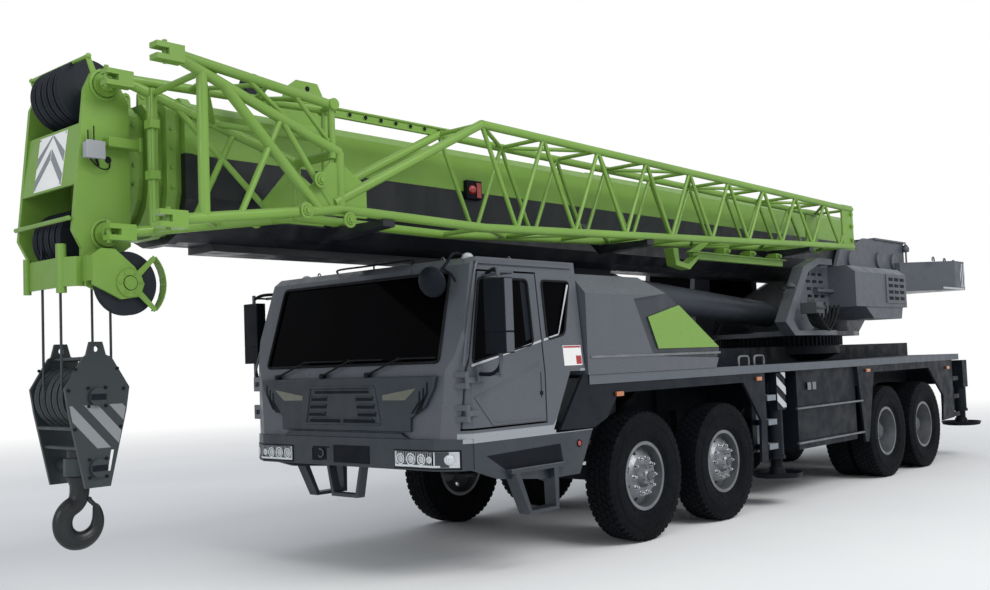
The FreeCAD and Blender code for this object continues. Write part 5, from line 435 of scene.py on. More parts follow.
def daylight():
    """White seen behind the object, an even sky, and a soft key from the object's left side."""
    world = bpy.data.worlds.new("sky")
    bpy.context.scene.world = world
    world.use_nodes = True
    tree = world.node_tree
    tree.nodes.clear()
    out, sky, white, path, add, blend = (tree.nodes.new("ShaderNode" + kind) for kind in (
        "OutputWorld", "Background", "Background", "LightPath", "Math", "MixShader"))
    for node, colour, strength in ((sky, (0.93, 0.96, 1.0, 1), 0.62), (white, (1, 1, 1, 1), 1.0)):
        node.inputs["Color"].default_value = colour
        node.inputs["Strength"].default_value = strength
    add.operation = "ADD"
    add.use_clamp = True
    for output, socket in ((path.outputs["Is Camera Ray"], add.inputs[0]),
                           (path.outputs["Is Transmission Ray"], add.inputs[1]),
                           (add.outputs[0], blend.inputs[0]), (sky.outputs[0], blend.inputs[1]),
                           (white.outputs[0], blend.inputs[2]), (blend.outputs[0], out.inputs["Surface"])):
        tree.links.new(output, socket)
    lamp("key", (2, 16, 15), (-0.5, 0, 1.6), (14, 8), 2450, (1.0, 0.985, 0.96))
    lamp("fill", (20, 4, 7), (3, 0, 1.6), (9, 6), 520, (0.95, 0.98, 1.0))
    view = bpy.context.scene.view_settings
    view.view_transform = "Standard"


backdrop()
daylight()

# Building pieces

SHARP, ROUNDED = math.radians(32), math.radians(40)
OPEN_BOX = ((4, 5, 6, 7), (0, 1, 5, 4), (1, 2, 6, 5), (2, 3, 7, 6), (3, 0, 4, 7))


def curve(points, steps):
    """A smooth line through points of any number of values."""
    points = [Vector(p) for p in points]
    last = len(points) - 1
    line = []
    for k in range(last):
        a, b, c, d = (points[min(max(k + j, 0), last)] for j in (-1, 0, 1, 2))
        for t in (s / steps for s in range(steps)):
            line.append(0.5 * (2 * b + (c - a) * t + (2 * a - 5 * b + 4 * c - d) * t * t
                               + (3 * b - a - 3 * c + d) * t ** 3))
    return line + [points[-1]]


def heading(line, k):
    """The way a line runs at one of its points."""
    return line[min(k + 1, len(line) - 1)] - line[max(k - 1, 0)]


class Shape:
    """One mesh, put together from boxes, turned pieces, rods, bent tubes and plates."""

    def __init__(self):
        self.bm = bmesh.new()

    def ring(self, centre, axis, radius, sides, turn=0.0):
        axis = Vector(axis).normalized()
        first = axis.orthogonal().normalized()
        if abs(axis.x) < 0.9 and abs(axis.z) < 0.9:
            first = axis.cross(Vector((1, 0, 0))).normalized()
        second = axis.cross(first)
        centre = Vector(centre)
        return [self.bm.verts.new(centre + radius * (math.cos(a) * first + math.sin(a) * second))
                for a in (turn + 2 * math.pi * k / sides for k in range(sides))]

    def bridge(self, a, b):
        count = len(a)
        for k in range(count):
            self.bm.faces.new((a[k], a[(k + 1) % count], b[(k + 1) % count], b[k]))

    def box(self, one, other, turn=None):
        """A box between two opposite corners, turned about its middle."""
        low, high = zip(*(sorted(pair) for pair in zip(one, other)))
        corners = [Vector((x, y, z)) for z in (low[2], high[2])
                   for x, y in ((low[0], low[1]), (high[0], low[1]), (high[0], high[1]), (low[0], high[1]))]
        if turn:
            about = (Vector(low) + Vector(high)) / 2
            corners = [about + turn @ (c - about) for c in corners]
        v = [self.bm.verts.new(c) for c in corners]
        for f in ((3, 2, 1, 0),) + OPEN_BOX:
            self.bm.faces.new([v[i] for i in f])
        return self

    def rod(self, start, end, radius, sides=16, far_radius=None, turn=0.0):
        axis = Vector(end) - Vector(start)
        a = self.ring(start, axis, radius, sides, turn)
        b = self.ring(end, axis, radius if far_radius is None else far_radius, sides, turn)
        self.bridge(a, b)
        self.bm.faces.new(list(reversed(a)))
        self.bm.faces.new(b)
        return self

    def lathe(self, profile, centre, axis, sides=48):
        """A profile of (along the axis, radius) turned about the axis; closed where it starts and ends off it."""
        axis = Vector(axis).normalized()
        rings = [self.ring(Vector(centre) + axis * along, axis, max(radius, 1e-5), sides)
                 for along, radius in profile]
        for a, b in zip(rings, rings[1:]):
            self.bridge(a, b)
        if profile[0][1] > 1e-4 or profile[-1][1] > 1e-4:
            if profile[0] != profile[-1]:
                self.bm.faces.new(list(reversed(rings[0])))
                self.bm.faces.new(rings[-1])
        return self

    def hoop(self, profile, centre, axis, sides=64):
        """A closed profile of (along the axis, radius) turned about the axis."""
        axis = Vector(axis).normalized()
        rings = [self.ring(Vector(centre) + axis * along, axis, radius, sides) for along, radius in profile]
        for a, b in zip(rings, rings[1:] + rings[:1]):
            self.bridge(a, b)
        return self

    def plate(self, outline, reach):
        """A flat outline of points carried along a vector."""
        reach = Vector(reach)
        a = [self.bm.verts.new(Vector(p)) for p in outline]
        b = [self.bm.verts.new(Vector(p) + reach) for p in outline]
        self.bridge(a, b)
        self.bm.faces.new(list(reversed(a)))
        self.bm.faces.new(b)
        return self

    def flat(self, outline, y, deep):
        """An upright plate: an outline of (x, z) at y, carried along Y."""
        return self.plate([(x, y, z) for x, z in outline], (0, deep, 0))

    def facing(self, outline, x, deep):
        """A plate across the crane: an outline of (y, z) at x, carried along X."""
        return self.plate([(x, y, z) for y, z in outline], (deep, 0, 0))

    def skin(self, outline, out, deep, side):
        """A plate along the cab's side: an outline of (x, z), so far out and so deep."""
        return self.plate([on_side(x, z, out, side) for x, z in outline], (0, side * deep, 0))

    def rods(self, *rows):
        for row in rows:
            self.rod(*row)
        return self

    def tube(self, points, radius, sides=10, steps=6):
        """A bent round tube through the points."""
        line = curve(points, steps)
        rings = []
        side = None
        for k, p in enumerate(line):
            ahead = heading(line, k).normalized()
            side = ahead.orthogonal().normalized() if side is None else (side - ahead * side.dot(ahead)).normalized()
            other = ahead.cross(side)
            rings.append([self.bm.verts.new(p + radius * (math.cos(a) * side + math.sin(a) * other))
                          for a in (2 * math.pi * i / sides for i in range(sides))])
        for a, b in zip(rings, rings[1:]):
            self.bridge(a, b)
        self.bm.faces.new(list(reversed(rings[0])))
        self.bm.faces.new(rings[-1])
        return self

    def dome(self, centre, axis, radius, height, sides=20, rings=5):
        """A round cap that bulges along the axis."""
        profile = [(height * math.sin(a), radius * math.cos(a))
                   for a in (math.pi / 2 * k / rings for k in range(rings))] + [(height, 0.0)]
        return self.lathe([(0.0, 0.0)] + profile, centre, axis, sides)

    def made(self, name, finish, body, bevel=0.003, segments=2, slot=None):
        """The mesh as a piece that rides on a body, with its edges rounded; the slot argument is not used."""
        bm = self.bm
        bmesh.ops.recalc_face_normals(bm, faces=bm.faces)
        for face in bm.faces:
            face.smooth = True
        for edge in bm.edges:
            if len(edge.link_faces) == 2 and edge.calc_face_angle(0.0) > SHARP:
                edge.smooth = False
        mesh = bpy.data.meshes.new(name)
        bm.to_mesh(mesh)
        bm.free()
        mesh.materials.append(finish)
        item = bpy.data.objects.new(name, mesh)
        bpy.context.scene.collection.objects.link(item)
        if bevel:
            round_off = item.modifiers.new("round", "BEVEL")
            round_off.width = bevel
            round_off.segments = segments
            round_off.limit_method = "ANGLE"
            round_off.angle_limit = ROUNDED
        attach(item, body)
        return item


# Tyres, nuts and hubs

SIDES = ((1, "left"), (-1, "right"))
WHEELS = [(number, x, side, "%d_%s" % (number, word)) for number, x in ((1, 2.15), (2, 0.675), (3, -3.67), (4, -5.02))
          for side, word in SIDES]
TYRE_R, WHEEL_Y, TWIN_Y = 0.613, 1.212, 0.862
TREAD_BLOCKS = 52
TYRE_WALL = [(0.093, 0.309), (0.118, 0.327), (0.124, 0.345), (0.138, 0.362), (0.1495, 0.40), (0.1545, 0.44),
             (0.157, 0.478), (0.1545, 0.520), (0.153, 0.523), (0.1525, 0.545), (0.149, 0.572), (0.1355, 0.5955)]


def carcass(shape, centre, side):
    """The turned body of a tyre, with its rim strip and the ribs of its wall."""
    outer = [(side * y, r) for y, r in TYRE_WALL]
    inner = [(-y, r) for y, r in reversed(outer)]
    shape.hoop(outer + [(side * 0.09, 0.6), (0.0, 0.602), (-side * 0.09, 0.6)] + inner, centre, (0, 1, 0), 80)
    for y, r in ((0.1415, 0.372), (0.1565, 0.505)):
        for s in (1, -1):
            shape.hoop([(s * y, r - 0.004), (s * (y + 0.003), r), (s * y, r + 0.004), (s * (y - 0.01), r)],
                       centre, (0, 1, 0), 64)


def tread(shape, centre):
    """Rows of blocks round the tread: three zigzag ribs and notched shoulders."""
    step = 2 * math.pi / TREAD_BLOCKS
    centre = Vector(centre)
    for k in range(TREAD_BLOCKS):
        for low, high, shift, gap, base, top in ((-0.1385, -0.088, 0.0, 0.30, 0.586, 0.6105),
                                                 (-0.080, -0.031, 0.5, 0.16, 0.596, TYRE_R),
                                                 (-0.024, 0.024, 0.0, 0.12, 0.596, TYRE_R),
                                                 (0.031, 0.080, 0.5, 0.16, 0.596, TYRE_R),
                                                 (0.088, 0.1385, 0.0, 0.30, 0.586, 0.6105)):
            start = (k + shift + gap / 2) * step
            end = (k + shift + 1 - gap / 2) * step
            lean = 0.13 * step if shift else -0.13 * step
            corners = []
            for radius in (base, top):
                for y, turn in ((low, start - lean), (high, start + lean), (high, end + lean), (low, end - lean)):
                    r = radius - (0.0035 if abs(y) > 0.13 and radius == top else 0.0)
                    corners.append(shape.bm.verts.new(centre + Vector((r * math.sin(turn), y, r * math.cos(turn)))))
            for f in OPEN_BOX:
                shape.bm.faces.new([corners[i] for i in f])


def tyres():
    for number, x, side, stem in WHEELS:
        shape = Shape()
        for y in ([WHEEL_Y] if number < 3 else [WHEEL_Y, TWIN_Y]):
            centre = (x, side * y, TYRE_R)
            carcass(shape, centre, side)
            tread(shape, centre)
        item = shape.made("treaded_tyre_" + stem, tyre_rubber, "wheel_" + stem, 0)
        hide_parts("tyre_" + stem)


def wheel_dress():
    """Nuts on their studs, the hub's cover with its screws, and the valve."""
    for number, x, side, stem in WHEELS:
        out, middle, body = Vector((0, side, 0)), Vector((x, side * WHEEL_Y, TYRE_R)), "wheel_" + stem
        if number < 3:
            face, circle, reach, radius, spot, sunk, valve_at = 0.096, 0.1675, 0.166, 0.045, 0.083, 0.014, 0.03
        else:
            face, circle, reach, radius, spot, sunk, valve_at = -0.161, 0.1855, 0.020, 0.088, 0.104, 0.012, -0.02

        def post(shape, foot, low, high, *more, **turn):
            shape.rod(foot + out * low, foot + out * high, *more, **turn)

        nuts, cover, valve = Shape(), Shape(), Shape()
        for k in range(10):
            angle = 2 * math.pi * k / 10
            foot = middle + out * face + circle * Vector((math.cos(angle), 0, math.sin(angle)))
            post(nuts, foot, -0.002, 0.005, 0.023, 20)
            post(nuts, foot, 0.005, 0.027, 0.0185, 6, turn=angle)
            post(nuts, foot, 0.027, 0.043, 0.0105, 12)
        nuts.made("wheel_nuts_" + stem, chrome if number < 3 else rim_silver, body, 0.001, 1, "rim_silver")
        cover.lathe([(reach - 0.003, 0.0), (reach - 0.003, radius), (reach + 0.012, radius - 0.004),
                     (reach + 0.016, radius * 0.7), (reach + 0.018, 0.0)], middle, out, 32)
        for k in range(8):
            angle = 2 * math.pi * (k + 0.5) / 8
            foot = middle + out * (reach - sunk) + spot * Vector((math.cos(angle), 0, math.sin(angle)))
            post(cover, foot, 0, 0.011, 0.009, 6)
        cover.made("hub_cover_" + stem, cast_grey, body, 0.001, 1)
        foot = middle + out * valve_at + Vector((0.262, 0, 0.06))
        post(valve, foot, 0, 0.075, 0.006, 10)
        post(valve, foot, 0.075, 0.09, 0.008, 10)
        valve.made("valve_" + stem, chrome, body, 0)


tyres()
wheel_dress()

# Cab


def hull(points):
    """The corners round a flat cloud of points, in order."""
    points = sorted(set((round(a, 4), round(b, 4)) for a, b in points))

    def half(run):
        kept = []
        for p in run:
            while len(kept) > 1 and ((kept[-1][0] - kept[-2][0]) * (p[1] - kept[-2][1])
                                     - (kept[-1][1] - kept[-2][1]) * (p[0] - kept[-2][0])) <= 1e-6:
                kept.pop()
            kept.append(p)
        return kept[:-1]

    return half(points) + half(points[::-1])


def rounded(corners, radius, steps=4):
    """Flat corners with arcs in them."""
    line = []
    count = len(corners)
    for k in range(count):
        p = Vector(corners[k])
        a = (Vector(corners[k - 1]) - p).normalized() * radius
        b = (Vector(corners[(k + 1) % count]) - p).normalized() * radius
        for s in range(steps + 1):
            t = s / steps
            line.append(tuple(p + a * (1 - t) ** 2 + b * t ** 2))
    return line


def side_y(z):
    return 1.375 if z < 1.64 else 1.375 - 0.0881 * (z - 1.64)


def on_side(x, z, out=0.0, side=1):
    return Vector((x, side * (side_y(z) + out), z))


def on_screen(y, z, out=0.0):
    return Vector((4.69 - (z - 1.70) * 0.284 + out, y, z))


def window_seal(name, corners, at, body, radius=0.011):
    """A rubber seal round a pane."""
    line = [at(a, b) for a, b in rounded(corners, 0.045)]
    shape = Shape()
    for a, b in zip(line, line[1:] + line[:1]):
        shape.rod(a, b, radius, 8)
    shape.made(name, hose_rubber, body, 0)


def node_corners(node, axes, keep):
    """The outline of a node's vertices that keep() takes, seen along the third axis."""
    return hull([(v.co[axes[0]], v.co[axes[1]]) for v in nodes[node].data.vertices if keep(v.co)])


def seals():
    for side, word in SIDES:
        door = node_corners("door_glass_" + word, (0, 2), lambda c: True)
        window_seal("door_seal_" + word, door, lambda x, z: on_side(x, z, 0.001, side), "door_" + word)
        rear = node_corners("cab_glass", (0, 2), lambda c: c.x < 3.9 and c.y * side > 0.5)
        window_seal("rear_seal_" + word, rear, lambda x, z: on_side(x, z, 0.001, side), "carrier")
        bar = Shape().skin(((3.765, 1.93), (3.845, 1.91), (3.845, 2.43), (3.765, 2.43)), -0.022, 0.014, side)
        bar.made("window_bar_" + word, dark_paint, "door_" + word, 0.002)
    screen = node_corners("cab_glass", (1, 2), lambda c: c.x > 4.3)
    window_seal("screen_seal", screen, lambda y, z: on_screen(y, z, 0.002), "carrier", 0.013)


def wipers():
    """Three wipers at rest on the windscreen."""
    for k, (foot, bend, tip) in enumerate(((-0.913, -0.547, -0.03), (-0.27, 0.062, 0.473), (0.323, 0.683, 1.10))):
        high = on_screen(bend, 1.80, 0.034)
        shape = Shape().rods((on_screen(foot, 1.672, -0.002), on_screen(foot, 1.672, 0.045), 0.024),
                             (on_screen(foot, 1.672, 0.034), high, 0.011, 8, 0.008),
                             (high, on_screen(tip, 1.797, 0.026), 0.007, 8),
                             (on_screen(bend, 1.80, 0.02), on_screen(bend, 1.80, 0.042), 0.013, 12))
        start, end = on_screen(bend - 0.02, 1.795, 0.004), on_screen(tip, 1.792, 0.004)
        up = Vector((0, 0, 0.012))
        shape.plate([start, end, end + up, start + up], (0.02, 0, 0))
        shape.made("wiper_%d" % (k + 1), hose_rubber, "carrier", 0.001, 1)


def nose():
    """The slate panel under the windscreen, with its grille, light strips and side slits, and painted shade inside
    the grille and slits.
    """
    face = 4.742
    half = [(1.146, 1.655), (1.115, 1.55), (1.02, 1.41), (0.845, 1.315), (0.845, 1.205)]
    panel = Shape().facing(half + [(-y, z) for y, z in reversed(half)], 4.70, face - 4.70)
    panel.made("nose_panel", slate_paint, "carrier", 0.012, 3)
    grille, dark, strips = Shape(), Shape(), Shape()
    rim = ((-0.42, 1.575), (0.42, 1.575), (0.49, 1.265), (-0.49, 1.265))
    for a, b in zip(rim, rim[1:] + rim[:1]):
        grille.rod((face, *a), (face, *b), 0.012, 8)

    def slat(start, end, z, lip, top):
        grille.plate([(face - 0.002, start, z), (face + 0.014, start, z + lip), (face - 0.002, start, z + top)],
                     (0, end - start, 0))

    slat(-0.40, 0.40, 1.300, 0.006, 0.022)
    slat(-0.34, 0.34, 1.552, 0.004, 0.020)
    slats = ((1.470, 0.19, 0.405), (1.405, 0.20, 0.425), (1.340, 0.21, 0.445))
    slits = ((0.860, 1.352, 0.955, 1.445), (0.905, 1.352, 1.000, 1.470), (0.950, 1.378, 1.045, 1.515))
    for s in (1, -1):
        for z, near, far in slats:
            slat(s * near, s * far, z + 0.012, 0.005, 0.022)
        # Painted shade: black strips behind the grille openings and plates in the side slits stand in for the shade
        # inside them.
        for z, near, far in slats + ((1.288, 0.02, 0.43), (1.533, 0.0, 0.36)):
            dark.box((face - 0.004, s * near, z - 0.012), (face + 0.0015, s * far, z + 0.012))
        for y, z, v, w in slits:
            outline = ((y, z), (y + 0.03, z + 0.004), (v + 0.022, w), (v + 0.022, w + 0.09), (v + 0.004, w + 0.09),
                       (v, w + 0.01))
            dark.facing([(s * a, b) for a, b in outline], face - 0.004, 0.0055)
        strips.facing([(s * y, z) for y, z in ((0.525, 1.505), (0.935, 1.560), (0.80, 1.462), (0.53, 1.462))],
                      face - 0.004, 0.008)
    grille.made("grille_ribs", slate_paint, "carrier")
    dark.made("grille_slot_shade", black_steel, "carrier", 0)
    strips.made("light_strips", olive_lamp, "carrier", 0.002)


def bumper_dress():
    """Lamps, the towing pocket drawn as painted shade, the blank plate and the ledge of the bumper."""
    front = 4.755
    ledge = Shape().facing(((-0.82, 1.148), (0.82, 1.148), (0.74, 1.196), (-0.74, 1.196)), 4.705, 0.045)
    ledge.made("bumper_ledge", slate_paint, "carrier", 0.008, 3)
    # Painted shade: a thin black patch stands in for the shade inside the towing pocket.
    pocket = Shape().box((front - 0.004, -0.386, 0.950), (front + 0.002, -0.165, 1.068))
    pocket.made("tow_pocket_shade", black_steel, "carrier", 0)
    eye = ((0.001, -0.31, 0.985), (0.009, -0.27, 0.972), (0.009, -0.235, 1.0), (0.009, -0.25, 1.035),
           (0.001, -0.30, 1.045))
    Shape().tube([(front + x, y, z) for x, y, z in eye], 0.007, 8, 4).made("tow_eye", cast_grey, "carrier", 0)
    plate = Shape().box((front - 0.002, -0.102, 0.934), (front + 0.007, 0.359, 1.083))
    plate.made("number_plate_blank", black_steel, "carrier")
    for s, word in SIDES:
        bend = [(front, 0.665), (front, 1.12), (4.652, 1.323)]

        def strip(low, high, off, deep, inset=0.0):
            a, b = Vector((bend[0][0], s * (bend[0][1] + inset), low)), Vector((bend[1][0], s * bend[1][1], low))
            c = Vector((bend[2][0] + inset * 0.45, s * (bend[2][1] - inset * 0.89), low))
            first, last = Vector((1, 0, 0)), ((c - b).cross(Vector((0, 0, 1))) * s).normalized()
            corner = (first + last) / (1 + first.dot(last))
            ways = ((a, first), (b, corner), (c, last))
            near, far = [p + n * off for p, n in ways], [p + n * (off + deep) for p, n in ways]
            shape = Shape()
            for k in (0, 1):
                shape.plate([near[k], near[k + 1], far[k + 1], far[k]], (0, 0, high - low))
            return shape

        strip(0.918, 1.068, -0.003, 0.008).made("lamp_bezel_" + word, black_steel, "carrier", 0.002)
        strip(0.932, 1.056, 0.004, 0.004, 0.014).made("lamp_back_" + word, reflector, "carrier", 0)
        bowls = Shape()
        for y, r in ((0.745, 0.047), (0.865, 0.052), (0.985, 0.047), (1.075, 0.030)):
            centre = Vector((front + 0.007, s * y, 0.994))
            bowls.hoop([(0.0, r), (0.006, r - 0.003), (0.004, r - 0.012), (0.0, r - 0.012)], centre, (1, 0, 0), 32)
            bowls.dome(centre, (1, 0, 0), r * 0.62, 0.009, 20, 4)
        centre = Vector((4.70, s * 1.236, 0.994))
        out = Vector((0.892, s * 0.452, 0))
        bowls.dome(centre + out * 0.009, out, 0.042, 0.010, 20, 4)
        bowls.made("lamp_bowls_" + word, clear_lamp, "carrier", 0)
        cells = strip(0.936, 0.950, 0.008, 0.003, 0.018)
        for k in range(22):
            y = 0.69 + k * 0.0195
            cells.rod((front + 0.008, s * y, 0.936), (front + 0.0105, s * y, 1.052), 0.0022, 6)
        cells.made("lamp_ribs_" + word, clear_lamp, "carrier", 0)


def steps():
    """Pierced treads on the side steps, a marker, and the pocket behind them drawn as painted shade."""
    for s, word in SIDES:
        studs = Shape()
        for x0, x1, z, y0, y1 in ((3.45, 4.18, 0.870, 1.245, 1.43), (3.60, 3.98, 0.515, 1.33, 1.43)):
            count = int((x1 - x0) / 0.036)
            for row in range(4):
                y = y0 + (row + 0.5) * (y1 - y0) / 4
                for k in range(count):
                    x = x0 + (k + 0.5 + 0.25 * (row % 2)) * (x1 - x0) / (count + 0.5)
                    studs.hoop([(0.0, 0.0105), (0.004, 0.008), (0.004, 0.0055), (0.0, 0.0045)],
                               (x, s * y, z - 0.0005),
                               (0, 0, 1), 8)
        studs.made("step_studs_" + word, rim_silver, "carrier", 0)
        # Painted shade: a black plate stands in for the shade inside the step pocket.
        recess_shade = Shape().flat(((4.42, 1.004), (3.48, 1.027), (3.45, 0.875), (4.20, 0.875)), s * 1.3745, s * 0.0025)
        recess_shade.made("step_recess_shade_" + word, black_steel, "carrier", 0)
        centre, out = (3.215, s * 1.375, 1.008), (0, s, 0)
        Shape().dome(centre, out, 0.026, 0.014, 24).made("skirt_marker_" + word, red_lamp, "carrier", 0)
        ring = Shape().hoop([(0, 0.034), (0.008, 0.032), (0.008, 0.026), (0, 0.025)], centre, out, 24)
        ring.made("skirt_marker_ring_" + word, hose_rubber, "carrier", 0)


def roof_items():
    """Rail, lifting rings, marker domes, gutters and the round front mirror on its arm."""
    shape = Shape().tube([(4.40, y, z) for y, z in ((-0.40, 2.60), (-0.385, 2.632), (0.0, 2.634), (0.555, 2.634),
                                                    (0.57, 2.60))],
                         0.009, 8)
    shape.rod((4.40, 0.09, 2.60), (4.40, 0.09, 2.634), 0.008, 8)
    shape.tube([(4.30, 1.10, 2.598), (4.36, 1.115, 2.635), (4.50, 1.16, 2.628), (4.565, 1.155, 2.56),
                (4.64, 1.13, 2.47),
                (4.688, 1.115, 2.425)], 0.012)
    shape.tube([(4.525, 1.20, 2.40), (4.56, 1.19, 2.46), (4.60, 1.15, 2.505)], 0.009, 8)
    shape.box((4.665, 1.085, 2.415), (4.712, 1.145, 2.465), Matrix.Rotation(0.4, 3, "Z"))
    shape.made("roof_rail_and_arm", black_steel, "carrier", 0.001, 1)
    axis = (math.cos(math.radians(12)), 0.15, -0.25)
    dish = Shape().lathe([(-0.010, 0.0), (-0.010, 0.120), (0.0, 0.128), (0.022, 0.124), (0.044, 0.095), (0.056, 0.05),
                          (0.060, 0.0)], (4.695, 1.112, 2.40), axis, 40)
    dish.made("front_mirror", dark_paint, "carrier")
    rings, domes, gutters = Shape(), Shape(), Shape()
    for x, y in ((4.20, -0.92), (3.70, 1.06), (3.70, -1.06), (4.20, 0.75)):
        rings.tube([(x, y + v, z) for v, z in ((-0.016, 2.598), (-0.019, 2.632), (0, 2.652), (0.019, 2.632),
                                               (0.016, 2.598))],
                   0.006, 8)
        rings.rod((x, y, 2.598), (x, y, 2.608), 0.03)
    rings.made("lifting_rings", rim_silver, "carrier", 0)
    for x, y in ((4.18, -1.14), (4.33, 1.16)):
        domes.rod((x, y, 2.585), (x, y, 2.612), 0.052, 24)
        domes.dome((x, y, 2.612), (0, 0, 1), 0.048, 0.036, 24)
    domes.made("roof_domes", pale_paint, "carrier", 0.002)
    for s in (1, -1):
        gutters.skin(((4.40, 2.548), (3.15, 2.548), (3.15, 2.572), (4.40, 2.572)), 0.003, 0.016, s)
        gutters.tube([on_side(x, z, out, s) for x, z, out in ((4.645, 1.72, 0.004), (4.55, 2.06, 0.006),
                                                              (4.41, 2.50, 0.010),
                                                              (4.36, 2.56, 0.010))], 0.011, 8)
    gutters.made("gutters", grey_paint, "carrier")


def cab_sides():
    """Belt lines, the slanted trim, the blank notice and the mirrors' shells."""
    for s, word in SIDES:
        body = "door_" + word

        def belt(*line):
            """Strips 20 mm high along a line."""
            shape, up = Shape(), Vector((0, 0, 0.020))
            for a, b in zip(line, line[1:]):
                p, q = (on_side(x, z, 0.001, s) for x, z in (a, b))
                shape.plate([p, q, q + up, p + up], (0, s * 0.007, 0))
            return shape

        belt((4.555, 1.712), (3.765, 1.878), (3.662, 1.900)).made("door_belt_" + word, pale_paint, body, 0.002)
        rear = belt((3.628, 1.907), (3.425, 1.949))
        rear.skin(((3.425, 1.949), (3.405, 1.975), (3.205, 2.40), (3.225, 2.405)), 0.001, 0.007, s)
        rear.made("rear_belt_" + word, pale_paint, "carrier", 0.002)
        crease, fields, shells = Shape(), Shape(), Shape()
        for line in (((4.54, 1.470), (4.50, 1.462), (3.70, 1.715), (3.70, 1.735)),
                     ((4.54, 1.470), (4.50, 1.475), (4.30, 1.250), (4.335, 1.240)),
                     ((4.335, 1.240), (4.30, 1.256), (3.70, 1.256), (3.68, 1.238))):
            crease.skin(line, -0.004, 0.012, s)
        crease.made("door_crease_" + word, grey_paint, body, 0.004, 3)
        notice = Shape().skin(((3.372, 1.69), (3.118, 1.69), (3.118, 1.865), (3.372, 1.865)), 0.0, 0.003, s)
        notice.made("notice_blank_" + word, notice_white, "carrier", 0)
        for x, z, high in ((3.365, 1.845, 1.860), (3.20, 1.70, 1.775)):
            fields.skin(((x, z), (3.125, z), (3.125, high), (x, high)), 0.0025, 0.0015, s)
        fields.made("notice_red_" + word, red_lamp, "carrier", 0)
        for low, high in ((1.985, 2.39), (1.82, 1.97)):
            shells.box((4.417, s * 1.497, low - 0.008), (4.523, s * 1.7125, high + 0.008))
        shells.made("mirror_shells_" + word, black_steel, body, 0.006, 3)
        grip = Shape().rods((on_side(3.706, 1.645, -0.012, s), on_side(3.706, 1.43, -0.012, s), 0.014, 12),
                            (on_side(3.706, 1.47, -0.02, s), on_side(3.706, 1.47, 0.006, s), 0.020, 20))
        grip.made("door_grip_" + word, hose_rubber, body, 0.002)
        pipes = Shape()
        for line in (((4.30, 1.31, 2.45), (4.33, 1.40, 2.478), (4.42, 1.53, 2.478), (4.47, 1.61, 2.44)),
                     ((4.47, 1.61, 1.83), (4.47, 1.60, 1.72), (4.485, 1.53, 1.655), (4.50, 1.40, 1.655))):
            pipes.tube([(x, s * y, z) for x, y, z in line], 0.0155)
        pipes.made("mirror_pipes_" + word, black_steel, body, 0)


seals()
wipers()
nose()
bumper_dress()
steps()
roof_items()
cab_sides()

# Engine cover and decks


def clipped(points, region):
    """The part of a flat outline inside a region whose corners run counter-clockwise."""
    for (x1, z1), (x2, z2) in zip(region, region[1:] + region[:1]):
        kept = []
        for p, q in zip(points, points[1:] + points[:1]):
            a = (x2 - x1) * (p[1] - z1) - (z2 - z1) * (p[0] - x1)
            b = (x2 - x1) * (q[1] - z1) - (z2 - z1) * (q[0] - x1)
            if a >= 0:
                kept.append(p)
            if a * b < 0:
                kept.append((p[0] + (q[0] - p[0]) * a / (a - b), p[1] + (q[1] - p[1]) * a / (a - b)))
        points = kept
    return points


def deck_items():
    """Side markers, and hazard stripes on the front jack boxes."""
    lights = Shape()
    for s in (1, -1):
        for x, z in ((2.60, 1.41), (-0.05, 1.45), (-3.00, 1.45), (-5.95, 1.40)):
            lights.box((x - 0.055, s * 1.383, z - 0.022), (x + 0.055, s * 1.406, z + 0.022))
    lights.made("side_markers", amber_lamp, "carrier", 0.006, 3)
    low, high = 1.10, 1.50
    for s, word in SIDES:
        front, rear = (-0.495, -0.705) if s > 0 else (-0.805, -1.015)
        item = Shape()
        for k in range(3):
            z = 1.05 + k * 0.19
            band = clipped([(rear, z), (front, z + 0.13), (front, z + 0.22), (rear, z + 0.09)],
                           [(rear, low), (front, low), (front, high), (rear, high)])
            if len(band) > 2:
                item.flat(band, s * 1.373, s * 0.003)
        item.made("jack_stripes_" + word, pale_paint, "outrigger_front_" + word, 0)


deck_items()

# Hook block and hook


def block_dress():
    """Hazard stripes, marks and bolts on both side plates of the hook block."""
    plate, paint = 0.265, 0.2655
    field = [(6.952, 1.262), (7.236, 1.262), (7.287, 1.500), (7.296, 1.556), (6.888, 1.556), (6.898, 1.500)]
    for s, word in SIDES:
        stripes, marks, bolts = Shape(), Shape(), Shape()
        for x in (7.055, 7.235, 7.415):
            band = clipped([(x, 1.60), (x - 0.098, 1.60), (x - 0.448, 1.22), (x - 0.35, 1.22)], field)
            stripes.flat(band, s * paint, s * 0.0025)
        stripes.made("block_stripes_" + word, stripe_grey, "hook_block", 0)
        marks.flat(((6.985, 1.245), (7.004, 1.245), (7.032, 1.105), (7.014, 1.105)), s * paint, s * 0.003)
        marks.made("block_mark_" + word, notice_white, "hook_block", 0)
        for x, z, r in ((7.10, 1.61, 0.088), (7.10, 1.13, 0.086)):
            for k in range(4):
                a = math.pi / 4 + math.pi / 2 * k
                foot = Vector((x + r * math.cos(a), s * plate, z + r * math.sin(a)))
                bolts.rod(foot, foot + Vector((0, s * 0.014, 0)), 0.011, 6)
            bolts.box((x - 0.055, s * 0.287, z - 0.02), (x + 0.055, s * 0.296, z + 0.02))
        for x, z in ((6.95, 1.80), (7.25, 1.80), (6.905, 1.66), (7.30, 1.66), (6.93, 1.40), (7.26, 1.40)):
            bolts.rod((x, s * plate, z), (x, s * 0.276, z), 0.012, 6)
        bolts.made("block_bolts_" + word, dark_paint, "hook_block", 0.001, 1)


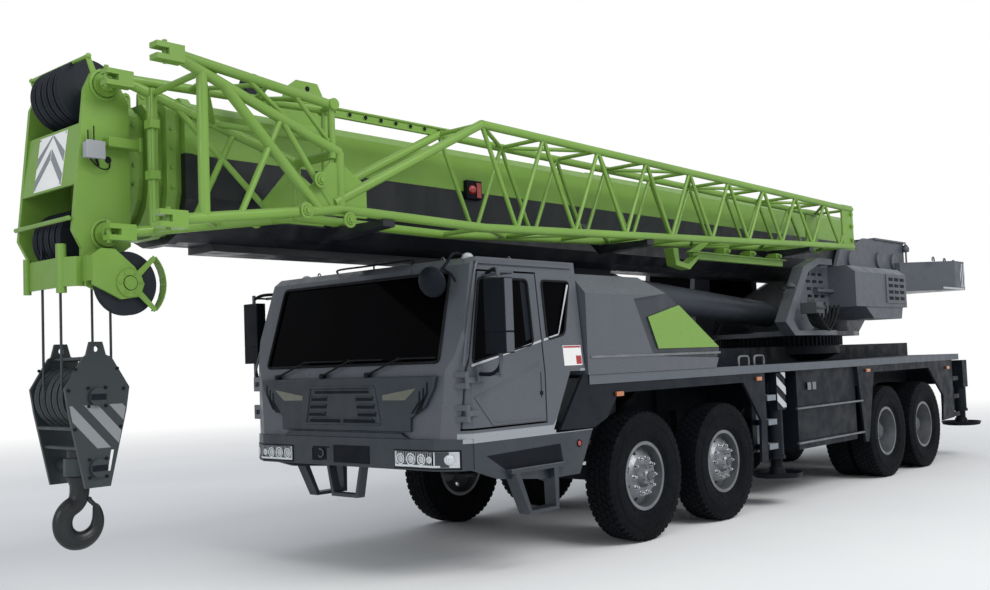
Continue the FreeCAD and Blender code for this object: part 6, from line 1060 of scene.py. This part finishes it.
def load_hook():
    """A forged single hook with a thick back, a blunt point, its latch, shank and nut."""
    shape = Shape()
    path = [(7.10, 1.060, 0.068, 0.068), (7.10, 1.000, 0.067, 0.067), (7.102, 0.950, 0.066, 0.065),
            (7.112, 0.908, 0.065, 0.061),
            (7.135, 0.875, 0.064, 0.057)]
    for degrees, reach, deep, wide in ((52, 0.130, 0.065, 0.053), (30, 0.129, 0.067, 0.051), (5, 0.127, 0.069, 0.050),
                                       (-25, 0.127, 0.069, 0.050), (-55, 0.126, 0.068, 0.050),
                                       (-80, 0.124, 0.065, 0.049),
                                       (-105, 0.123, 0.062, 0.047), (-130, 0.123, 0.056, 0.044),
                                       (-155, 0.126, 0.050, 0.041),
                                       (-180, 0.130, 0.044, 0.037), (-202, 0.138, 0.036, 0.032),
                                       (-218, 0.150, 0.026, 0.026),
                                       (-226, 0.158, 0.014, 0.016)):
        a = math.radians(degrees)
        path.append((7.10 + reach * math.cos(a), 0.745 + reach * math.sin(a), deep, wide))
    fine = curve(path, 5)
    rings = []
    for k, row in enumerate(fine):
        ahead = heading(fine, k)
        out = Vector((-ahead[1], 0, ahead[0])).normalized()
        rings.append([shape.bm.verts.new(Vector((row[0], 0, row[1])) + out * row[2] * math.cos(t)
                                         + Vector((0, row[3] * math.sin(t) * (1.0 if math.cos(t) > 0 else 0.9), 0)))
                      for t in (2 * math.pi * j / 32 for j in range(32))])
    for a, b in zip(rings, rings[1:]):
        shape.bridge(a, b)
    shape.bm.faces.new(rings[0])
    shape.bm.faces.new(rings[-1])
    shape.lathe([(1.00, 0.0), (1.00, 0.066), (1.045, 0.084), (1.062, 0.084), (1.062, 0.045), (1.192, 0.045),
                 (1.192, 0.084),
                 (1.250, 0.084), (1.268, 0.066), (1.268, 0.0)], (7.10, 0, 0), (0, 0, 1), 40)
    shape.rod((7.045, -0.04, 0.905), (7.045, 0.04, 0.905), 0.013, 12)
    for y in (-0.022, 0.016):
        shape.flat(((7.062, 0.900), (7.042, 0.888), (6.975, 0.822), (6.966, 0.838), (7.040, 0.918)), y, 0.006)
    item = shape.made("forged_hook", hook_black, "hook", 0)
    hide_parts("hook")


# Boom head


def head_dress():
    """Chevrons, the sensor box with its aerials, rope guards, the side stub and pin caps."""
    def face(y, z, out):
        return Vector((7.241 + (3.455 - z) * 0.1412 + out, y, z))

    sign, bars, rivets = Shape(), Shape(), Shape()
    sign.plate([face(y, z, 0.0) for y, z in ((-0.205, 3.045), (0.205, 3.045), (0.205, 3.435), (-0.205, 3.435))],
               (0.004, 0, 0))
    sign.made("head_sign", notice_white, "boom_head", 0.002)
    for s in (1, -1):
        for z in (3.09, 3.25):
            outline = ((0.20, z - 0.035), (0.20, z + 0.040), (0.006, min(z + 0.24, 3.43)),
                       (0.006, min(z + 0.165, 3.42)))
            bars.plate([face(s * y, height, 0.003) for y, height in outline], (0.003, 0, 0))
        for z in (3.418, 3.062):
            rivets.dome(face(s * 0.188, z, 0.004), (1, 0, 0), 0.010, 0.005, 12, 3)
    bars.made("head_sign_bars", stripe_grey, "boom_head", 0)
    rivets.made("head_sign_rivets", chrome, "boom_head", 0)
    box = Shape().box((7.138, 0.421, 3.205), (7.256, 0.492, 3.312)).box((7.130, 0.490, 3.198), (7.264, 0.500, 3.320))
    box.made("sensor_box", pale_grey, "boom_head", 0.006, 3)
    wires = Shape()
    for x, z in ((7.232, 3.392), (7.190, 3.425)):
        wires.rods(((x, 0.455, 3.31), (x, 0.455, z), 0.0045, 8), ((x, 0.455, 3.31), (x, 0.455, 3.33), 0.010, 10))
    wires.tube([(7.22, 0.46, 3.20), (7.20, 0.47, 3.17), (7.14, 0.455, 3.14), (7.08, 0.44, 3.15),
                (7.06, 0.424, 3.19)], 0.005, 8)
    wires.tube([(7.18, 0.46, 3.20), (7.17, 0.46, 3.18), (7.15, 0.43, 3.165)], 0.009, 8)
    wires.rod((7.073, 0.419, 3.212), (7.073, 0.4225, 3.212), 0.024, 20)
    wires.made("sensor_wires", hose_rubber, "boom_head", 0)
    guards = Shape()
    for s in (1, -1):
        guards.flat(((7.10, 3.70), (7.15, 3.69), (7.218, 3.900), (7.190, 3.915)), s * 0.405, s * 0.018)
        guards.lathe([(0.0, 0.014), (0.006, 0.018), (0.02, 0.018), (0.024, 0.0)], (7.203, s * 0.412, 3.908),
                     (0, s, 0), 16)
    guards.rods(((7.203, -0.425, 3.908), (7.203, 0.425, 3.908), 0.013, 14),
                ((7.345, -0.40, 2.80), (7.345, 0.40, 2.80), 0.016, 14))
    guards.made("rope_guards", lime_paint, "boom_head")
    stub = Shape().box((6.862, 0.419, 3.292), (7.105, 0.500, 3.358)).box((6.862, 0.470, 3.275), (6.885, 0.515, 3.375))
    for x, z in ((7.090, 3.725), (7.100, 2.700)):
        stub.hoop([(0.0, 0.112), (0.010, 0.110), (0.012, 0.092), (0.0, 0.086)], (x, 0.421, z), (0, 1, 0), 40)
        stub.lathe([(0.0, 0.0), (0.0, 0.052), (0.030, 0.048), (0.036, 0.0)], (x, 0.454, z), (0, 1, 0), 28)
        stub.box((x - 0.02, 0.48, z - 0.05), (x + 0.02, 0.495, z + 0.05), Matrix.Rotation(0.7, 3, "Y"))
    stub.made("head_stub", lime_paint, "boom_head", 0.004)
    guard, hub, wide = Shape(), Vector((7.010, 0.560, 2.365)), Vector((0, 0.062, 0))
    arc = [hub + Vector((-0.262 * math.cos(a), 0,
                         0.262 * math.sin(a))) for a in (math.radians(-44 + 11 * k) for k in range(9))]
    for a, b in zip(arc, arc[1:]):
        normal = ((a + b) / 2 - hub).normalized() * 0.006
        guard.plate([a - wide, b - wide, b + wide * 0.35, a + wide * 0.35], normal)
    for end in (arc[0], arc[-1]):
        along = (end - hub).normalized()
        across = Vector((along.z, 0, -along.x)) * 0.022
        root = hub + along * 0.08
        guard.plate([root - across, root + across, end + across * 0.7, end - across * 0.7], (0, 0.012, 0))
    guard.hoop([(0.0, 0.095), (0.016, 0.095), (0.016, 0.052), (0.0, 0.052)], hub, (0, 1, 0), 40)
    for k in range(6):
        a = math.pi / 3 * k
        foot = hub + Vector((0.074 * math.cos(a), 0.014, 0.074 * math.sin(a)))
        guard.rod(foot, foot + Vector((0, 0.010, 0)), 0.009, 6)
    guard.made("aux_sheave_guard", lime_paint, "boom_head", 0.002)


def collar_tabs():
    """Pierced lugs on top of the sections' collars, and pegs on their sides."""
    half_outline = [(-0.036, -0.004), (-0.034, 0.085), (-0.022, 0.108)]
    outline = half_outline + [(0.0, 0.116)] + [(-a, b) for a, b in reversed(half_outline)]
    for body, x, top, half in (("boom_section_2", 6.580, 3.705, 0.405), ("boom_section_3", 6.708, 3.669, 0.369),
                               ("boom_section_4", 6.836, 3.633, 0.333)):
        shape = Shape()
        for y in (0.22, -0.25):
            shape.flat([(x + a, top + b) for a, b in outline], y, 0.03)
            shape.hoop([(0.0, 0.024), (0.006, 0.024), (0.006, 0.014), (0.0, 0.014)], (x, y + 0.03, top + 0.075),
                       (0, 1, 0), 20)
        for z in (3.50, 3.36, 3.22, 3.08):
            shape.rod((x, half - 0.004, z), (x, half + 0.016, z), 0.013, 10)
        shape.made("collar_tabs_" + body[-1], lime_paint, body)


# Boom and jib


def boom_dress():
    """Hoist rope along the boom, its guides, the side lamp and the stow channel under the jib."""
    middle = (5.30, 0.05, 3.758)
    Shape().rods(((-4.45, 0.05, 3.758), middle, 0.009, 8), (middle, (6.45, 0.05, 3.775), 0.009, 8)).made(
        "hoist_rope_rear", rope_steel, "boom", 0)
    Shape().rod((6.93, 0.05, 3.79), (7.13, 0.05, 3.888), 0.009, 8).made("hoist_rope_front", rope_steel, "boom_head",
                                                                        0)
    guide = Shape()
    for x in (5.28, 1.2, -2.6):
        for y in (-0.03, 0.11):
            guide.flat(((x - 0.10, 3.716), (x + 0.10, 3.716), (x + 0.07, 3.795), (x - 0.07, 3.795)), y, 0.012)
        guide.rod((x, -0.03, 3.735), (x, 0.122, 3.735), 0.014)
    guide.flat(((5.05, 3.716), (5.62, 3.716), (5.62, 3.80), (5.50, 3.915), (5.12, 3.925), (5.05, 3.86)), 0.32, 0.016)
    guide.made("rope_guides", lime_paint, "boom")
    wheel = Shape().hoop([(-0.020, 0.105), (-0.020, 0.075), (0.020, 0.075), (0.020, 0.105), (0.006, 0.092),
                          (-0.006, 0.092)],
                         (6.03, 0.63, 3.838), (0, 1, 0), 40)
    wheel.rod((6.03, 0.60, 3.838), (6.03, 0.66, 3.838), 0.078, 32).made("rope_roller", sheave_plastic, "boom", 0)
    Shape().box((3.36, 0.418, 3.255), (3.56, 0.47, 3.43)).made("boom_lamp_box", black_steel, "boom", 0.008, 3)
    red = Shape().dome((3.50, 0.470, 3.34), (0, 1, 0), 0.045, 0.035, 24).box((3.38, 0.469, 3.27), (3.44, 0.480, 3.41))
    red.made("boom_lamp", red_lamp, "boom")
    stow = Shape().box((-1.57, 0.93, 2.79), (0.52, 0.99, 2.865)).box((-1.57, 0.88, 2.855), (0.52, 1.04, 2.868))
    stow.flat(((0.98, 2.885), (0.93, 2.70), (0.66, 2.665), (0.48, 2.78), (0.48, 2.83), (0.68, 2.725), (0.86, 2.75),
               (0.88, 2.885)),
              0.90, 0.12)
    stow.flat(((0.60, 2.865), (0.40, 2.865), (0.10, 3.02), (0.20, 3.02)), 0.94, 0.04)
    for x in (-1.40, -0.75, -0.15):
        stow.box((x - 0.05, 0.90, 2.86), (x + 0.05, 1.02, 2.94))
        stow.rod((x, 0.86, 2.905), (x, 1.06, 2.905), 0.022, 14)
    stow.made("jib_stow_channel", lime_paint, "boom", 0.004)


def jib_dress():
    """The front part's upper run, the pierced link beam with painted shade in its holes, pins, clamps and end lugs of
    the stowed jib.
    """
    outer, inner = Vector((5.80, 1.25, 3.63)), Vector((5.45, 0.75, 3.74))
    near, far, low = (6.55, 0.63, 3.743), (6.05, 0.685, 3.742), (6.35, 1.27, 3.683)
    upper = Shape().rods(((7.06, 1.295, 3.745), outer, 0.034), ((7.06, 0.575, 3.745), inner, 0.034),
                         (outer, inner, 0.024, 14), (outer, (5.80, 1.25, 3.24), 0.026, 14),
                         (inner, (5.47, 0.76, 3.20), 0.026, 14))
    for a, b in (((6.55, 1.277, 3.70), (6.10, 1.26, 3.40)), ((6.15, 1.264, 3.665), (5.83, 1.25, 3.36)),
                 ((6.75, 1.284, 3.717), near), (low, near), (low, far), ((5.98, 1.256, 3.648), far)):
        upper.rod(a, b, 0.017, 12)
    for at in (outer, inner):
        upper.lathe([(-0.045, 0.0), (-0.045, 0.042), (0.045, 0.042), (0.045, 0.0)], at, (0, 1, 0), 24)
    upper.made("jib_upper_run", lime_paint, "boom", 0.002)
    beam, eyes, pins = Shape(), Shape(), Shape()
    for z in (3.705, 3.768):
        beam.box((3.93, 0.732, z - 0.008), (5.46, 0.768, z + 0.008))
    beam.box((3.93, 0.744, 3.705), (5.46, 0.756, 3.768))
    # Painted shade: black plugs in the link beam's holes stand in for the shade inside them.
    for x in (5.37 - k * 0.165 for k in range(9)):
        beam.hoop([(-0.012, 0.024), (0.012, 0.024), (0.012, 0.016), (-0.012, 0.016)], (x, 0.75, 3.737), (0, 1, 0), 20)
        eyes.rod((x, 0.733, 3.737), (x, 0.767, 3.737), 0.0165)
    beam.flat(((5.86, 3.76), (5.80, 3.87), (5.72, 3.930), (5.52, 3.930), (5.45, 3.80), (5.45, 3.76)), 0.74, 0.02)
    beam.made("jib_link_beam", lime_paint, "boom")
    eyes.rod((5.62, 0.736, 3.875), (5.62, 0.764, 3.875), 0.020).made("jib_link_hole_shade", black_steel, "boom", 0)
    for x, y, z in ((6.084, 1.30, 2.837), (5.70, 1.30, 2.80), (5.956, 1.30, 3.063), (6.084, 0.70, 2.837)):
        pins.rods(((x, y - 0.03, z), (x, y + 0.022, z), 0.036, 24), ((x, y + 0.022, z), (x, y + 0.034, z), 0.022, 6))
        pins.hoop([(0.0, 0.058), (0.010, 0.056), (0.010, 0.036), (0.0, 0.036)], (x, y + 0.004, z), (0, 1, 0), 28)
    pins.rod((6.86, 0.64, 2.78), (6.86, 0.64, 3.70), 0.014, 12)
    for z in (3.45, 3.10):
        pins.box((6.825, 0.585, z - 0.03), (6.895, 0.672, z + 0.03))
    for y in (1.30, 0.57):
        for z in (3.745, 2.70):
            pins.rod((7.155, y, z - 0.075), (7.155, y, z + 0.075), 0.016, 12)
    for z in (3.52, 3.36, 3.18):
        pins.rod((-3.02, 1.265, z), (-3.02, 1.292, z), 0.026, 20)
    pins.made("jib_pins", lime_paint, "boom")


# Upper body


def upper_dress():
    """Valves and hoses, drum rope, lamps, eyes and stripes of the slewing body, and painted shade in its cabinet
    louvres.
    """
    valves = Shape().box((-2.12, 1.02, 2.20), (-1.92, 1.24, 2.34))
    for x in (-2.09 + k * 0.05 for k in range(4)):
        valves.rods(((x, 1.13, 2.34), (x, 1.13, 2.40), 0.014, 10), ((x, 1.24, 2.27), (x, 1.275, 2.27), 0.016, 8))
    valves.rod((-1.62, 0.95, 2.52), (-1.62, 1.12, 2.52), 0.014, 10)
    valves.lathe([(0.0, 0.0), (0.0, 0.055), (0.02, 0.060), (0.05, 0.03), (0.06, 0.0)], (-1.60, 1.06, 2.53),
                 (0, 0, 1), 24)
    valves.made("valve_block", cast_grey, "upper", 0.004)
    hoses, drums, fittings, stripes, louvre_shade, lips = (Shape() for _ in range(6))
    for k in range(5):
        y = 1.05 + k * 0.045
        hoses.tube([(-2.06 + 0.03 * k, y, 2.21), (-2.12, y + 0.01, 2.10 - 0.012 * k),
                    (-2.30, y - 0.01, 2.04 - 0.012 * k),
                    (-2.52, y - 0.03, 2.12), (-2.58 - 0.03 * k, y - 0.05, 2.31)], 0.016, 10)
    hoses.made("hydraulic_hoses", hose_rubber, "upper", 0)
    for x in (-5.775, -6.36):
        for y in (-0.36 + k * 0.045 for k in range(17)):
            drums.hoop([(-0.020, 0.213), (-0.010, 0.228), (0.010, 0.228), (0.020, 0.213)], (x, y, 3.10), (0, 1, 0),
                       40)
    drums.made("wound_rope", rope_steel, "upper", 0)
    fittings.rod((-6.83, 0.54, 3.07), (-6.83, 0.54, 3.30), 0.014, 12)
    fittings.lathe([(0.0, 0.0), (0.0, 0.045), (0.02, 0.055), (0.07, 0.055), (0.11, 0.030), (0.13, 0.012),
                    (0.14, 0.0)],
                   (-6.83, 0.54, 3.28), (0, 0, 1), 24)
    fittings.box((-6.90, 0.49, 3.06), (-6.78, 0.59, 3.10))
    for x, y in ((-7.10, 1.05), (-6.60, 1.05), (-7.10, -1.05), (-6.60, -1.05)):
        eye = ((-0.04, 3.075), (-0.04, 3.115), (0, 3.142), (0.04, 3.115), (0.04, 3.075))
        fittings.tube([(x + along, y, z) for along, z in eye], 0.011, 10)
    fittings.dome((-7.30, 1.12, 3.078), (0, 0, 1), 0.032, 0.045, 20)
    fittings.made("counterweight_eyes", grey_paint, "upper", 0.002)
    field = [(-7.39, 2.66), (-7.20, 2.66), (-7.20, 3.045), (-7.39, 3.045)]
    for s in (1, -1):
        for x in (-7.10, -7.20, -7.30):
            band = clipped([(x, 2.62), (x - 0.19, 3.08), (x - 0.24, 3.08), (x - 0.05, 2.62)], field)
            stripes.flat(band, s * 1.2495, s * 0.003)
            stripes.facing([(s * (1.24 - (a + 7.39)), b) for a, b in band], -7.3985, -0.0012)
        stripes.box((-7.36, s * 1.2495, 2.622), (-6.40, s * 1.253, 2.650))
        # Painted shade: black strips under the lips stand in for the shade inside the cabinet's louvres.
        for z in (2.400 + row * 0.088 for row in range(4)):
            for x in (-4.615 + k * 0.20 for k in range(3)):
                louvre_shade.box((x, s * 1.3135, z), (x + 0.15, s * 1.3155, z + 0.044))
                lips.box((x - 0.008, s * 1.3135, z + 0.044), (x + 0.158, s * 1.320, z + 0.054))
    stripes.made("counterweight_stripes", pale_paint, "upper", 0)
    louvre_shade.made("cabinet_louvre_shade", black_steel, "upper", 0)
    lips.made("cabinet_lips", grey_paint, "upper", 0.002, 1)


def deck_trim():
    """Locker rails, latch plates, the sill under the engine cover and the grab handles."""
    rails, handles = Shape(), Shape()
    hoop = ((0.11, 1.598), (0.11, 1.665), (0.08, 1.70), (-0.08, 1.70), (-0.11, 1.665), (-0.11, 1.598))
    for s in (1, -1):
        for z in (1.065, 0.660):
            rails.rod((-2.84, s * 1.370, z), (-0.98, s * 1.370, z), 0.013, 12)
            for x in (-2.80 + k * 0.356 for k in range(6)):
                rails.box((x - 0.01, s * 1.338, z - 0.012), (x + 0.01, s * 1.368, z + 0.012))
        for x in (-1.35, -1.48):
            rails.box((x - 0.045, s * 1.352, 1.27), (x + 0.045, s * 1.362, 1.36))
        rails.box((0.76, s * 1.394, 1.745), (3.02, s * 1.402, 1.768))
        for x in (0.01, -0.34):
            handles.tube([(x + along, s * 1.25, z) for along, z in hoop], 0.013, 10)
    rails.made("locker_rails", rim_silver, "carrier", 0.001, 1)
    handles.made("deck_handles", rim_silver, "carrier", 0)


block_dress()
load_hook()
head_dress()
collar_tabs()
boom_dress()
jib_dress()
upper_dress()
deck_trim()
